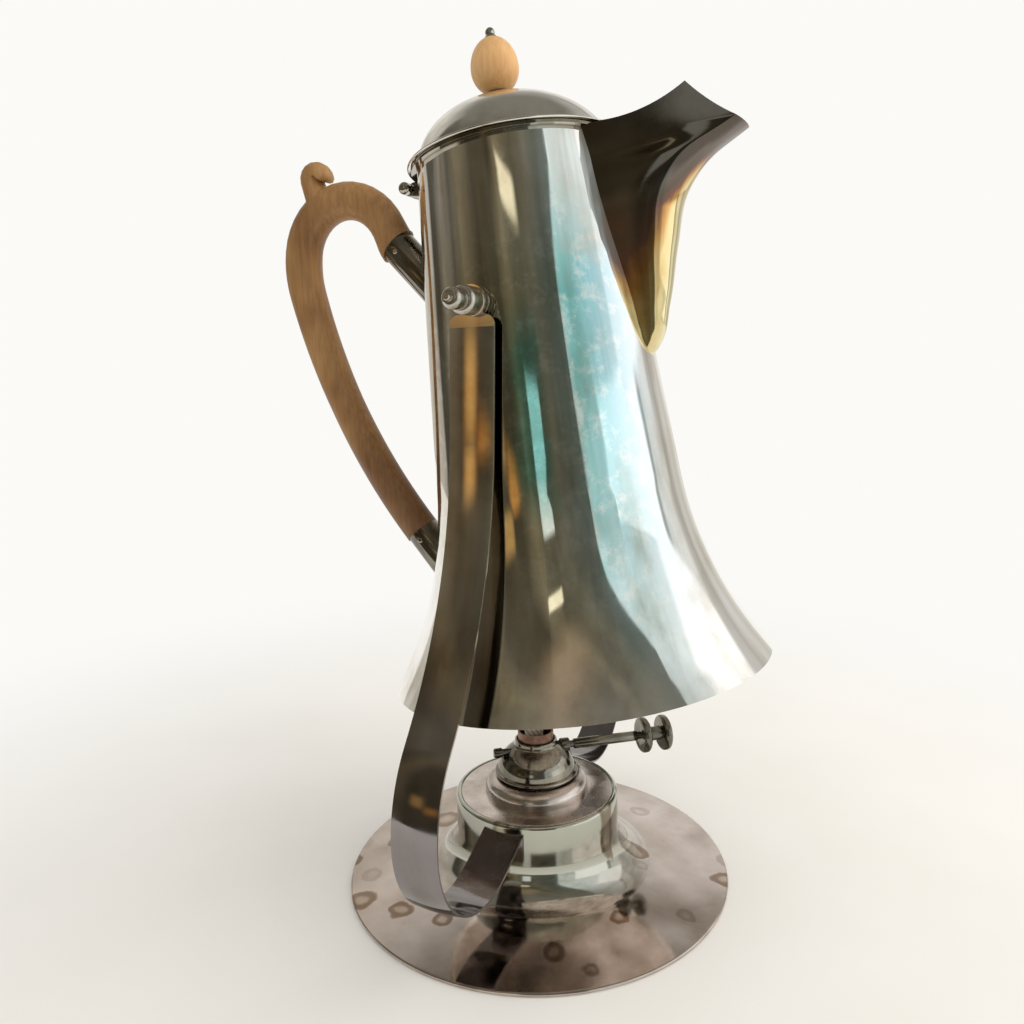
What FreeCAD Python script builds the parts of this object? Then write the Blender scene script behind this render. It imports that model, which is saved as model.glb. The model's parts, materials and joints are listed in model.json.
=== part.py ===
"""Silver-plated coffee pot that tilts between two strap arms over a spirit burner.

The row frame has +Z up, +X from the handle towards the spout and the origin at
the middle of the foot's underside. The pot, its lid and its handle are drawn
upright in the pot's own frame, whose origin is where the pot's axis crosses the
height of the pivots, and are then leaned back about the pivots.
"""
import FreeCAD, Part
import math
import os

import Sketcher

DRIVING_SIZES = {
    # stand: foot, drum and the seat for the lamp
    "foot_radius": 90.0, "foot_hem": 5.0, "foot_edge": 2.0, "foot_sheet": 1.3, "foot_crown": 5.5,
    "flare_radius": 18.0, "drum_radius": 38.5, "drum_height": 40.8, "drum_corner": 1.6,
    "seat_depth": 1.2, "seat_wall": 2.0, "seat_bore": 31.0, "lamp_clearance": 0.3,
    # strap arms, from the pivot eye down to the tab on the drum
    "pivot_height": 262.0, "arm_width": 19.0, "arm_edge": 0.9, "arm_crown_height": 0.7, "arm_stance": 51.8,
    "arm_slope_angle": 4.4, "arm_sweep_radius": 192.0, "arm_splay_angle": 39.2,
    "arm_hip_radius": 54.7, "arm_loop_radius": 40.3, "arm_rise_angle": 21.9, "tab_height": 11.0,
    "tab_sheet": 1.3, "tab_drop": 4.7,
    "eye_radius": 6.2, "eye_neck": 4.8, "shoulder_drop": 4.8, "shoulder_round": 4.0,
    "strap_drop": 9.5, "rivet_radius": 1.5, "rivet_head": 2.8, "rivet_head_height": 1.3, "rivet_drop": 6.5,
    # pot wall, lip and base
    "pot_lean_angle": 7.3, "pot_offset": 3.6, "pot_drop": 156.3, "pot_rise": 61.8, "mouth_radius": 41.0,
    "bell_radius": 83.4, "bell_taper_angle": 5.2, "bell_sweep": 166.0, "pot_sheet": 1.0, "lip_width": 2.6,
    "lip_sheet": 1.2, "base_inset": 2.0, "base_sheet": 1.0,
    # spout: level sections from its foot to above the beak, and the edge cut across them
    "spout_sheet": 1.0, "keel_round": 3.6, "spout_back": 30.0,
    "foot_level": -26.0, "foot_keel": 49.6, "foot_half": 5.5,
    "belly_level": -8.0, "belly_keel": 59.5, "belly_half": 7.2,
    "waist_level": 14.0, "waist_keel": 64.6, "waist_half": 12.8,
    "throat_level": 34.0, "throat_keel": 71.7, "throat_half": 17.0,
    "curl_level": 44.5, "curl_keel": 83.0, "curl_half": 17.9,
    "beak_level": 50.0, "beak_keel": 95.5, "beak_half": 18.2,
    "crown_level": 70.0, "crown_keel": 140.0, "crown_half": 20.8,
    "edge_reach": 44.0, "edge_level": 61.0, "edge_sweep": 60.0, "ear_keel": 76.6, "ear_level": 67.0,
    "scoop_sweep": 80.0,
    "window_top": 52.0, "window_top_half": 12.0, "window_foot": 10.0, "window_foot_half": 2.5,
    "window_round": 2.0,
    # lid, hinge and knob
    "lid_gap": 0.2, "flange_radius": 45.0, "lid_sheet": 1.0, "dome_radius": 39.6, "dome_rise": 23.4,
    "dome_offset": 3.0, "bezel_depth": 5.0, "bezel_gap": 0.6, "hinge_standoff": 3.2, "hinge_drop": 2.2,
    "knuckle_radius": 2.6, "knuckle_length": 5.0, "knuckle_gap": 0.2, "hinge_pin_radius": 1.2,
    "hinge_ball": 2.6, "leaf_sheet": 1.0, "leaf_lap": 2.2, "bracket_depth": 6.0, "pin_clearance": 0.05,
    "cup_radius": 4.6, "cup_height": 3.0, "knob_radius": 9.7, "knob_height": 20.2, "knob_belly": 7.9,
    "knob_seat": 4.6, "knob_tip": 2.8, "rod_radius": 1.5, "rod_clearance": 0.1, "rod_tail": 3.2,
    "ball_radius": 2.0, "ball_neck": 0.9, "ball_cone": 1.8, "nut_radius": 3.5, "nut_height": 2.4,
    # wooden handle and its two sockets
    "grip_depth": 16.4, "grip_width": 14.6, "grip_round": 6.9, "grip_reach": 62.0, "grip_level": 39.5,
    "grip_heading_angle": 109.0, "grip_lead": 7.0, "grip_run": 9.5, "hook_radius": 25.8,
    "hook_turn_angle": 144.4, "nape_radius": 45.6, "nape_turn_angle": 23.5,
    "back_radius": 284.0, "back_turn_angle": 26.0,
    "thumb_width": 12.5, "thumb_reach": 98.5, "thumb_level": 79.2, "thumb_radius": 5.2, "thumb_stem": 9.0,
    "thumb_round": 2.6,
    "socket_radius": 8.1, "socket_sheet": 1.0, "socket_heading_angle": 307.0, "socket_length": 48.0,
    "tenon_length": 12.0, "tenon_gap": 0.1, "socket_pin_radius": 1.3, "socket_pin_inset": 4.5,
    # pivots
    "boss_radius": 6.4, "washer_radius": 6.0, "washer_sheet": 1.2, "pivot_gap": 0.15,
    "shank_radius": 2.2, "shank_clearance": 0.06, "shank_length": 2.7,
    "barrel_radius": 5.4, "barrel_length": 8.4, "barrel_round": 2.0, "barrel_groove": 0.8,
    "cap_nut_radius": 4.0, "cap_nut_length": 7.6, "cap_nut_round": 2.2,
    "button_radius": 1.3, "button_length": 2.4,
    # spirit lamp: tray, shoulder and bowl
    "tray_sheet": 1.0, "tray_bore": 20.0, "shoulder_radius": 22.4, "shoulder_top": 48.0,
    "shoulder_soft": 1.5, "neck_radius": 16.5,
    "neck_top": 53.0, "neck_wall": 1.2, "bowl_radius": 30.2, "bowl_floor": 17.5, "bowl_sheet": 0.9,
    "bowl_corner": 6.0,
    # burner cap, wick tube, key and wick
    "cap_rim": 19.6, "cap_bottom": 48.7, "cap_roll": 2.0, "cap_roll_round": 0.8, "cap_gap": 0.08,
    "cap_seat": 0.05,
    "cap_sheet": 0.9, "cap_bulge": 13.0, "cap_collar": 12.5, "cap_shoulder": 61.0, "cap_top": 64.5,
    "cap_plate": 62.6, "tube_radius": 8.4, "tube_wall": 0.8, "tube_foot": 44.0, "tube_top": 69.5,
    "spindle_height": 60.0, "spindle_radius": 1.7, "spindle_clearance": 0.08, "key_azimuth_angle": 37.5,
    "gland_radius": 3.3, "gland_length": 4.0, "peg_radius": 2.3, "peg_reach": 20.8, "peg_length": 4.3,
    "key_reach": 67.0, "key_disc": 8.6, "key_disc_sheet": 4.0, "key_disc_round": 1.6, "key_neck": 3.4,
    "key_length": 14.5, "key_end_wall": 2.5, "feed_radius": 3.0, "feed_tooth": 0.6, "feed_width": 6.0,
    "feed_gap": 0.1, "wick_width": 9.0, "wick_sheet": 2.4, "wick_foot": 24.0, "wick_top": 71.0,
}

FEED_TEETH = 12


class Size:
    """A length or angle that knows its number and the cell formula it comes from."""

    def __init__(self, value, text):
        self.value = value
        self.text = text

    def __add__(self, other):
        other = as_size(other)
        return Size(self.value + other.value, f"({self.text} + {other.text})")

    def __sub__(self, other):
        other = as_size(other)
        return Size(self.value - other.value, f"({self.text} - {other.text})")

    def __mul__(self, other):
        other = as_size(other)
        return Size(self.value * other.value, f"({self.text} * {other.text})")

    def __truediv__(self, other):
        other = as_size(other)
        return Size(self.value / other.value, f"({self.text} / {other.text})")

    def __neg__(self):
        return Size(-self.value, f"(-1 * {self.text})")

    def __radd__(self, other):
        return as_size(other) + self

    def __rsub__(self, other):
        return as_size(other) - self

    def __rmul__(self, other):
        return as_size(other) * self


def as_size(number):
    """A plain number as a size with no cell behind it."""
    return number if isinstance(number, Size) else Size(float(number), str(number))


def root(size):
    return Size(math.sqrt(size.value), f"sqrt({size.text})")


def sine(angle):
    return Size(math.sin(math.radians(angle.value)), f"sin({angle.text} * 1 deg)")


def cosine(angle):
    return Size(math.cos(math.radians(angle.value)), f"cos({angle.text} * 1 deg)")


doc = FreeCAD.newDocument("coffee_pot")
sheet = doc.addObject("Spreadsheet::Sheet", "Sheet")
for row, (alias, number) in enumerate(DRIVING_SIZES.items(), start=1):
    sheet.set(f"A{row}", alias)
    sheet.set(f"B{row}", str(number))
    sheet.setAlias(f"B{row}", alias)
doc.recompute()


class Sizes:
    """Every cell of the sheet, read by its alias."""

    def __getattr__(self, alias):
        return Size(float(sheet.get(alias)), f"Sheet.{alias}")


D = Sizes()
V = FreeCAD.Vector


class Corner:
    """One corner of an outline: sharp, rounded, or reached along an arc of a signed radius."""

    def __init__(self, x, y, rounding=None, arc=None):
        self.x = as_size(x)
        self.y = as_size(y)
        self.rounding = rounding
        self.arc = arc

    def point(self):
        return V(self.x.value, self.y.value, 0)


def new_body(label, x=0, z=0, lean=None, turn=None):
    """A body whose place is bound to the sheet: leaned about -Y or turned about +Z."""
    body = doc.addObject("PartDesign::Body", label)
    body.Label = label
    axis, angle = (V(0, -1, 0), lean) if lean else (V(0, 0, 1), turn)
    start = V(as_size(x).value, 0, as_size(z).value)
    body.Placement = FreeCAD.Placement(start, FreeCAD.Rotation(axis, angle.value if angle else 0))
    if angle:
        body.setExpression("Placement.Rotation.Angle", angle.text)
        body.setExpression("Placement.Base.x", as_size(x).text)
        body.setExpression("Placement.Base.z", as_size(z).text)
    return body


def pot_body_frame(label):
    """A body in the pot's own frame, leaned back about the pivots."""
    return new_body(label, D.pot_offset * cosine(D.pot_lean_angle),
                    D.pivot_height + D.pot_offset * sine(D.pot_lean_angle), lean=D.pot_lean_angle)


def key_frame(label):
    """A body whose X axis runs along the wick spindle, seen from above."""
    return new_body(label, turn=D.key_azimuth_angle)


def new_sketch(body, name, plane, offset=(0, 0, 0), tilt=None):
    """A sketch on one of the body's origin planes, moved by offset and tilted about -Y."""
    sketch = body.newObject("Sketcher::SketchObject", f"{body.Label}_{name}")
    role = {"XY": "XY_Plane", "XZ": "XZ_Plane", "YZ": "YZ_Plane"}[plane]
    support = next(item for item in body.Origin.OriginFeatures if item.Role == role)
    sketch.AttachmentSupport = [(support, "")]
    sketch.MapMode = "FlatFace"
    sizes = [as_size(part) for part in offset]
    turn = FreeCAD.Rotation(V(0, -1, 0), tilt.value if tilt else 0)
    sketch.AttachmentOffset = FreeCAD.Placement(V(*[part.value for part in sizes]), turn)
    for letter, part in zip("xyz", sizes):
        if "Sheet" in part.text:
            sketch.setExpression(f"AttachmentOffset.Base.{letter}", part.text)
    if tilt:
        sketch.setExpression("AttachmentOffset.Rotation.Angle", tilt.text)
    return sketch


def bind(sketch, kind, *where, size, scale=""):
    """A dimension of the sketch, held by the cell formula of a size."""
    number = math.radians(size.value) if kind == "Angle" else size.value
    index = sketch.addConstraint(Sketcher.Constraint(kind, *where, number))
    if "Sheet" in size.text:
        sketch.setExpression(f"Constraints[{index}]", size.text + scale)


def pin(sketch, geometry, position, corner):
    bind(sketch, "DistanceX", -1, 1, geometry, position, size=corner.x)
    bind(sketch, "DistanceY", -1, 1, geometry, position, size=corner.y)


def tangent_points(before, corner, after):
    """Where a rounding leaves its two straight sides."""
    toward = (before.point() - corner.point()).normalize()
    onward = (after.point() - corner.point()).normalize()
    half = toward.getAngle(onward) / 2
    run = corner.rounding.value / math.tan(half)
    return corner.point() + toward * run, corner.point() + onward * run


def arc_by_radius(start, end, radius):
    """The shorter arc from start to end: a positive radius turns left, a negative one right."""
    chord = end - start
    middle = (start + end) * 0.5
    left = V(-chord.y, chord.x, 0).normalize()
    height = math.sqrt(max(radius ** 2 - (chord.Length / 2) ** 2, 0))
    centre = middle + left * math.copysign(height, radius)
    first, last = (start, end) if radius > 0 else (end, start)
    circle = Part.Circle(centre, V(0, 0, 1), abs(radius))
    return Part.ArcOfCircle(circle, circle.parameter(first), circle.parameter(last))


def outline(sketch, corners):
    """A closed outline of straight sides and arcs through corners that the sheet places."""
    count = len(corners)
    entry = []
    leave = []
    for index, corner in enumerate(corners):
        if corner.rounding:
            near, far = tangent_points(corners[index - 1], corner, corners[(index + 1) % count])
        else:
            near = far = corner.point()
        entry.append(near)
        leave.append(far)
    sides = []
    for index in range(count):
        following = (index + 1) % count
        target = corners[following]
        if target.arc:
            side = sketch.addGeometry(arc_by_radius(leave[index], entry[following], target.arc.value))
            ends = (1, 2) if target.arc.value > 0 else (2, 1)
            magnitude = target.arc if target.arc.value > 0 else -target.arc
            bind(sketch, "Radius", side, size=magnitude)
        else:
            side = sketch.addGeometry(Part.LineSegment(leave[index], entry[following]))
            ends = (1, 2)
        sides.append((side, *ends))
    for index, corner in enumerate(corners):
        before, after = sides[index - 1], sides[index]
        if corner.rounding:
            round_corner(sketch, corner, before, after, entry[index], leave[index])
        else:
            sketch.addConstraint(Sketcher.Constraint("Coincident", before[0], before[2], after[0], after[1]))
            pin(sketch, after[0], after[1], corner)


def round_corner(sketch, corner, before, after, near, far):
    """A rounding tangent to both sides of a corner, whose point stays where the sheet puts it."""
    cross = (corner.point() - near).cross(far - corner.point()).z
    radius = math.copysign(corner.rounding.value, cross)
    arc = sketch.addGeometry(arc_by_radius(near, far, radius))
    first, last = (1, 2) if radius > 0 else (2, 1)
    sketch.addConstraint(Sketcher.Constraint("Tangent", before[0], before[2], arc, first))
    sketch.addConstraint(Sketcher.Constraint("Tangent", arc, last, after[0], after[1]))
    bind(sketch, "Radius", arc, size=corner.rounding)
    mark = sketch.addGeometry(Part.Point(corner.point()), True)
    pin(sketch, mark, 1, corner)
    sketch.addConstraint(Sketcher.Constraint("PointOnObject", mark, 1, before[0]))
    sketch.addConstraint(Sketcher.Constraint("PointOnObject", mark, 1, after[0]))


def circle(sketch, x, y, radius):
    ring = sketch.addGeometry(Part.Circle(V(as_size(x).value, as_size(y).value, 0), V(0, 0, 1), radius.value))
    pin(sketch, ring, 3, Corner(x, y))
    bind(sketch, "Radius", ring, size=radius)


def after_run(place, heading, length):
    """Where a straight run ends."""
    return Corner(place.x + length * cosine(heading), place.y + length * sine(heading))


def after_bend(place, heading, radius, turn):
    """Where a bend ends, and its heading there; a positive turn is to the left."""
    side = 1 if turn.value > 0 else -1
    leaving = heading + turn
    x = place.x + side * (radius * (sine(leaving) - sine(heading)))
    y = place.y + side * (radius * (cosine(heading) - cosine(leaving)))
    return Corner(x, y), leaving


def track(sketch, place, heading, steps):
    """A path of straight runs and bends, each tangent to the last; a bend is (radius, turn).

    Gives back the place and the heading at its end.
    """
    last = None
    for step in steps:
        if isinstance(step, Size):
            goal = after_run(place, heading, step)
            leaving = heading
            piece = (sketch.addGeometry(Part.LineSegment(place.point(), goal.point())), 1, 2)
            bind(sketch, "Distance", piece[0], size=step)
        else:
            radius, turn = step
            goal, leaving = after_bend(place, heading, radius, turn)
            left = turn.value > 0
            swept = radius.value if left else -radius.value
            arc = arc_by_radius(place.point(), goal.point(), swept)
            piece = (sketch.addGeometry(arc), *((1, 2) if left else (2, 1)))
            bind(sketch, "Radius", piece[0], size=radius)
            bind(sketch, "Angle", piece[0], size=turn if left else -turn, scale=" * 1 deg")
        if last:
            sketch.addConstraint(Sketcher.Constraint("Tangent", last[0], last[2], piece[0], piece[1]))
        else:
            pin(sketch, piece[0], piece[1], place)
            bind(sketch, "Angle", piece[0], size=heading, scale=" * 1 deg")
        last = piece
        place = goal
        heading = leaving
    return place, heading


def revolve(body, sketch, axis="V_Axis", kind="PartDesign::Revolution"):
    """Turn a sketch right round one of its axes."""
    turned = body.newObject(kind, f"{sketch.Label}_turned")
    turned.Profile = sketch
    turned.ReferenceAxis = (sketch, [axis])
    turned.Angle = 360
    doc.recompute()
    return turned


def pad(body, sketch, length, middle=False, reverse=False):
    block = body.newObject("PartDesign::Pad", f"{sketch.Label}_pad")
    block.Profile = sketch
    block.Length = length.value
    block.setExpression("Length", length.text)
    block.Midplane = middle
    block.Reversed = reverse
    doc.recompute()
    return block


def bore_through(body, sketch):
    """Cut a sketch right through the body, both ways."""
    before = body.Shape.Volume
    cut = body.newObject("PartDesign::Pocket", f"{sketch.Label}_cut")
    cut.Profile = sketch
    cut.Type = 1
    cut.Midplane = True
    doc.recompute()
    assert body.Shape.Volume < before, f"{sketch.Label} cuts nothing"
    return cut


def turned_piece(body, name, corners, plane="XZ", axis="V_Axis", offset=(0, 0, 0)):
    """A turned or spun piece from its half outline."""
    sketch = new_sketch(body, name, plane, offset)
    outline(sketch, corners)
    revolve(body, sketch, axis)
    return body


def cut_blind(body, sketch, length, middle=False, reverse=False):
    """Cut a sketch into the body to a depth, and make sure that something was cut."""
    before = body.Shape.Volume
    cut = body.newObject("PartDesign::Pocket", f"{sketch.Label}_cut")
    cut.Profile = sketch
    cut.Length = length.value
    cut.setExpression("Length", length.text)
    cut.Midplane = middle
    cut.Reversed = reverse
    doc.recompute()
    assert body.Shape.Volume < before, f"{sketch.Label} cuts nothing"
    return cut


def walk(place, heading, steps):
    """Where a path of runs and bends ends, and its heading there."""
    for step in steps:
        if isinstance(step, Size):
            place = after_run(place, heading, step)
        else:
            place, heading = after_bend(place, heading, *step)
    return place, heading


def sweep(body, section, path):
    """Carry a section along a path."""
    pipe = body.newObject("PartDesign::AdditivePipe", f"{section.Label}_swept")
    pipe.Profile = section
    pipe.Spine = (path, [f"Edge{number}" for number in range(1, path.GeometryCount + 1)])
    doc.recompute()
    return pipe


def join(sketch, first, first_end, second, second_end):
    sketch.addConstraint(Sketcher.Constraint("Coincident", first, first_end, second, second_end))


def side_line(sketch, start, end):
    return sketch.addGeometry(Part.LineSegment(start, end))


def pair(label, bodies):
    """Two like pieces under one name."""
    both = doc.addObject("Part::Compound", label)
    both.Label = label
    both.Links = bodies
    doc.recompute()
    return both


# Pot wall


def bell_points(inset):
    """Mouth, end of the taper, rim and centre of the sweep, for the wall's face at an inset."""
    taper = math.radians(D.bell_taper_angle.value)
    down = V(math.sin(taper), -math.cos(taper), 0)
    outward = V(math.cos(taper), math.sin(taper), 0)
    mouth = V(D.mouth_radius.value, D.pot_rise.value, 0)
    across = V(D.bell_radius.value, -D.pot_drop.value, 0) - mouth
    off = across.dot(outward)
    run = across.dot(down) - math.sqrt(off * (2 * D.bell_sweep.value - off))
    taper_end = mouth + down * run
    centre = taper_end + outward * D.bell_sweep.value
    rim = bell_point_at(centre, inset, -D.pot_drop.value)
    taper_end = taper_end - outward * inset
    mouth = V(mouth.x - inset / math.cos(taper), mouth.y, 0)
    return mouth, taper_end, rim, centre


def bell_point_at(centre, inset, height):
    """A point of the sweep at a height."""
    radius = D.bell_sweep.value + inset
    return V(centre.x - math.sqrt(radius ** 2 - (height - centre.y) ** 2), height, 0)


def bell_curves(sketch, inset=None, beside=None, helper=False):
    """The pot's side in a sketch: a straight taper from the mouth and a tangent sweep to the rim.

    An inset side runs parallel to the side given as beside.
    """
    mouth, taper_end, rim, centre = bell_points(inset.value if inset else 0)
    line = sketch.addGeometry(Part.LineSegment(mouth, taper_end), helper)
    ring = Part.Circle(centre, V(0, 0, 1), (rim - centre).Length)
    arc = sketch.addGeometry(Part.ArcOfCircle(ring, ring.parameter(taper_end), ring.parameter(rim)), helper)
    sketch.addConstraint(Sketcher.Constraint("Tangent", line, 2, arc, 1))
    bind(sketch, "Angle", line, size=D.bell_taper_angle - 90, scale=" * 1 deg")
    if beside:
        join(sketch, arc, 3, beside[1], 3)
        bind(sketch, "Radius", arc, size=D.bell_sweep + inset)
        bind(sketch, "DistanceY", -1, 1, line, 1, size=D.pot_rise)
        bind(sketch, "DistanceY", -1, 1, arc, 2, size=-D.pot_drop)
    else:
        bind(sketch, "Radius", arc, size=D.bell_sweep)
        pin(sketch, line, 1, Corner(D.mouth_radius, D.pot_rise))
        pin(sketch, arc, 2, Corner(D.bell_radius, -D.pot_drop))
    return line, arc


def lip_corners(inner):
    """The lip turned out at the pot's mouth."""
    outer = D.mouth_radius + D.lip_width
    under = D.pot_rise - D.lip_sheet
    return [Corner(inner, under), Corner(outer, under), Corner(outer, D.pot_rise), Corner(inner, D.pot_rise)]


def cut_to_wall(body):
    """Shape a fitting to the outside of the pot and of its lip."""
    sketch = new_sketch(body, "wall", "XZ")
    line, arc = bell_curves(sketch)
    mouth, _, rim, _ = bell_points(0)
    floor = side_line(sketch, rim, V(0, rim.y, 0))
    axis = side_line(sketch, V(0, rim.y, 0), V(0, mouth.y, 0))
    top = side_line(sketch, V(0, mouth.y, 0), mouth)
    join(sketch, arc, 2, floor, 1)
    join(sketch, floor, 2, axis, 1)
    join(sketch, axis, 2, top, 1)
    join(sketch, top, 2, line, 1)
    pin(sketch, axis, 1, Corner(0, -D.pot_drop))
    pin(sketch, axis, 2, Corner(0, D.pot_rise))
    before = body.Shape.Volume
    revolve(body, sketch, kind="PartDesign::Groove")
    assert body.Shape.Volume < before, f"{body.Label} does not reach the wall"


def cut_to_lip(body):
    """Clear a fitting of the lip at the mouth."""
    lip = new_sketch(body, "lip", "XZ")
    outline(lip, lip_corners(as_size(0)))
    revolve(body, lip, kind="PartDesign::Groove")


def make_pot_body():
    """Bell-shaped wall, spun from sheet, with the lip at its mouth and the window behind the spout."""
    body = pot_body_frame("pot_body")
    sketch = new_sketch(body, "shell", "XZ")
    outer = bell_curves(sketch)
    inner = bell_curves(sketch, inset=D.pot_sheet, beside=outer)
    mouth, _, rim, _ = bell_points(0)
    inner_mouth, _, inner_rim, _ = bell_points(D.pot_sheet.value)
    foot = side_line(sketch, rim, inner_rim)
    brim = side_line(sketch, inner_mouth, mouth)
    join(sketch, outer[1], 2, foot, 1)
    join(sketch, foot, 2, inner[1], 2)
    join(sketch, inner[0], 1, brim, 1)
    join(sketch, brim, 2, outer[0], 1)
    revolve(body, sketch)
    turned_piece(body, "mouth_lip", lip_corners(D.mouth_radius - D.pot_sheet / 2))
    window = new_sketch(body, "window", "YZ")
    outline(window, [
        Corner(-D.window_foot_half, -D.window_foot, rounding=D.window_round),
        Corner(D.window_foot_half, -D.window_foot, rounding=D.window_round),
        Corner(D.window_top_half, D.window_top, rounding=D.window_round),
        Corner(-D.window_top_half, D.window_top, rounding=D.window_round),
    ])
    cut_blind(body, window, D.bell_radius, reverse=True)
    return body


def make_pot_base():
    """Flat disc set into the pot's wide end, its edge against the inside of the wall."""
    body = pot_body_frame("pot_base")
    sketch = new_sketch(body, "disc", "XZ")
    _, arc = bell_curves(sketch, helper=True)
    low = D.base_inset - D.pot_drop
    high = low + D.base_sheet
    centre = bell_points(0)[3]
    low_edge = bell_point_at(centre, D.pot_sheet.value, low.value)
    high_edge = bell_point_at(centre, D.pot_sheet.value, high.value)
    ring = Part.Circle(centre, V(0, 0, 1), D.bell_sweep.value + D.pot_sheet.value)
    floor = side_line(sketch, V(0, low.value, 0), low_edge)
    edge = sketch.addGeometry(Part.ArcOfCircle(ring, ring.parameter(high_edge), ring.parameter(low_edge)))
    top = side_line(sketch, high_edge, V(0, high.value, 0))
    axis = side_line(sketch, V(0, high.value, 0), V(0, low.value, 0))
    join(sketch, floor, 2, edge, 2)
    join(sketch, edge, 1, top, 1)
    join(sketch, top, 2, axis, 1)
    join(sketch, axis, 2, floor, 1)
    join(sketch, edge, 3, arc, 3)
    bind(sketch, "Radius", edge, size=D.bell_sweep + D.pot_sheet)
    pin(sketch, axis, 1, Corner(0, high))
    pin(sketch, axis, 2, Corner(0, low))
    for end, level in ((1, high), (2, low)):
        bind(sketch, "DistanceY", -1, 1, edge, end, size=level)
    revolve(body, sketch)
    return body


# Spout


SPOUT_LEVELS = ("foot", "belly", "waist", "throat", "curl", "beak", "crown")


def keel_section(sketch, keel, nose, half):
    """A level section of the spout: two straight flanks meeting in a rounded keel."""
    back = D.spout_back.value
    centre = V(keel.value - D.keel_round.value, 0, 0)
    corner = V(back, half.value, 0)
    arm = corner - centre
    lean = math.atan2(arm.y, arm.x) - math.acos(nose.value / arm.Length)
    upper = centre + V(math.cos(lean), math.sin(lean), 0) * nose.value
    lower = V(upper.x, -upper.y, 0)
    ring = Part.Circle(centre, V(0, 0, 1), nose.value)
    first = side_line(sketch, corner, upper)
    round_end = sketch.addGeometry(Part.ArcOfCircle(ring, -lean, lean))
    second = side_line(sketch, lower, V(back, -half.value, 0))
    behind = side_line(sketch, V(back, -half.value, 0), corner)
    sketch.addConstraint(Sketcher.Constraint("Tangent", first, 2, round_end, 2))
    sketch.addConstraint(Sketcher.Constraint("Tangent", round_end, 1, second, 1))
    join(sketch, second, 2, behind, 1)
    join(sketch, behind, 2, first, 1)
    pin(sketch, round_end, 3, Corner(keel - D.keel_round, 0))
    bind(sketch, "Radius", round_end, size=nose)
    pin(sketch, behind, 1, Corner(D.spout_back, -half))
    pin(sketch, behind, 2, Corner(D.spout_back, half))


def spout_loft(body, name, kind, inset):
    sections = []
    for level in SPOUT_LEVELS:
        sketch = new_sketch(body, f"{name}_{level}", "XY", offset=(0, 0, getattr(D, f"{level}_level")))
        keel_section(sketch, getattr(D, f"{level}_keel"), D.keel_round - inset,
                     getattr(D, f"{level}_half") - inset * 1.05)
        sections.append(sketch)
    loft = body.newObject(kind, f"{body.Label}_{name}")
    loft.Profile = sections[0]
    loft.Sections = sections[1:]
    doc.recompute()


def make_spout():
    """Helmet-shaped pouring lip: a keeled channel raised on the wall, cut open along its ears."""
    body = pot_body_frame("spout")
    spout_loft(body, "outside", "PartDesign::AdditiveLoft", as_size(0))
    before = body.Shape.Volume
    spout_loft(body, "channel", "PartDesign::SubtractiveLoft", D.spout_sheet)
    assert body.Shape.Volume < before, "the spout is not hollow"
    edge = new_sketch(body, "edge", "XZ")
    above = D.crown_level + D.keel_round
    beyond = D.crown_keel + D.keel_round
    outline(edge, [
        Corner(0, D.edge_level),
        Corner(D.edge_reach, D.edge_level),
        Corner(D.ear_keel, D.ear_level, arc=D.edge_sweep),
        Corner(D.beak_keel, D.beak_level, arc=D.scoop_sweep),
        Corner(beyond, D.beak_level),
        Corner(beyond, above),
        Corner(0, above),
    ])
    bore_through(body, edge)
    cut_to_wall(body)
    cut_to_lip(body)
    return body


# Lid and knob


LID_BASE = D.pot_rise + D.lid_gap
HINGE_LEVEL = LID_BASE - D.hinge_drop
HINGE_REACH = D.flange_radius + D.hinge_standoff
FLANGE_TOP = LID_BASE + D.lid_sheet
DOME_TOP = FLANGE_TOP + D.dome_rise
DOME_SPHERE = (D.dome_radius * D.dome_radius + D.dome_rise * D.dome_rise) / (2 * D.dome_rise)
DOME_CENTRE = DOME_TOP - DOME_SPHERE
ROD_HOLE = D.rod_radius + D.rod_clearance
DOME_PLACE = (-D.dome_offset, 0, 0)
KNOB_FOOT = DOME_TOP + D.cup_height
KNOB_TOP = KNOB_FOOT + D.knob_height


def dome_level(radius, inset=0):
    """The height of the dome's outer face, or of a face inside it, at a radius."""
    sphere = DOME_SPHERE - inset
    return DOME_CENTRE + root(sphere * sphere - radius * radius)


def bulge(across, along):
    """The radius of an arc that starts upright and moves across by one size along another."""
    return (across * across + along * along) / (2 * across)


def make_lid_dome():
    """Lid of a flat flange and a dome set back on it towards the hinge, bored for the knob's rod."""
    body = pot_body_frame("lid_dome")
    flange_inner = D.dome_radius - D.dome_offset - D.lid_sheet
    turned_piece(body, "flange", [
        Corner(flange_inner, LID_BASE), Corner(D.flange_radius, LID_BASE),
        Corner(D.flange_radius, FLANGE_TOP), Corner(flange_inner, FLANGE_TOP)])
    inner_sphere = DOME_SPHERE - D.lid_sheet
    depth = LID_BASE - DOME_CENTRE
    return turned_piece(body, "dome", [
        Corner(root(inner_sphere * inner_sphere - depth * depth), LID_BASE, arc=-inner_sphere),
        Corner(D.dome_radius, LID_BASE),
        Corner(D.dome_radius, FLANGE_TOP),
        Corner(ROD_HOLE, dome_level(ROD_HOLE), arc=DOME_SPHERE),
        Corner(ROD_HOLE, dome_level(ROD_HOLE, D.lid_sheet)),
    ], offset=DOME_PLACE)


def make_lid_bezel():
    """Ring under the lid that drops into the pot's mouth."""
    outer = D.mouth_radius - D.pot_sheet - D.bezel_gap
    inner = outer - D.lid_sheet
    foot = LID_BASE - D.bezel_depth
    return turned_piece(pot_body_frame("lid_bezel"), "profile", [
        Corner(inner, foot), Corner(outer, foot), Corner(outer, LID_BASE), Corner(inner, LID_BASE)])


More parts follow.
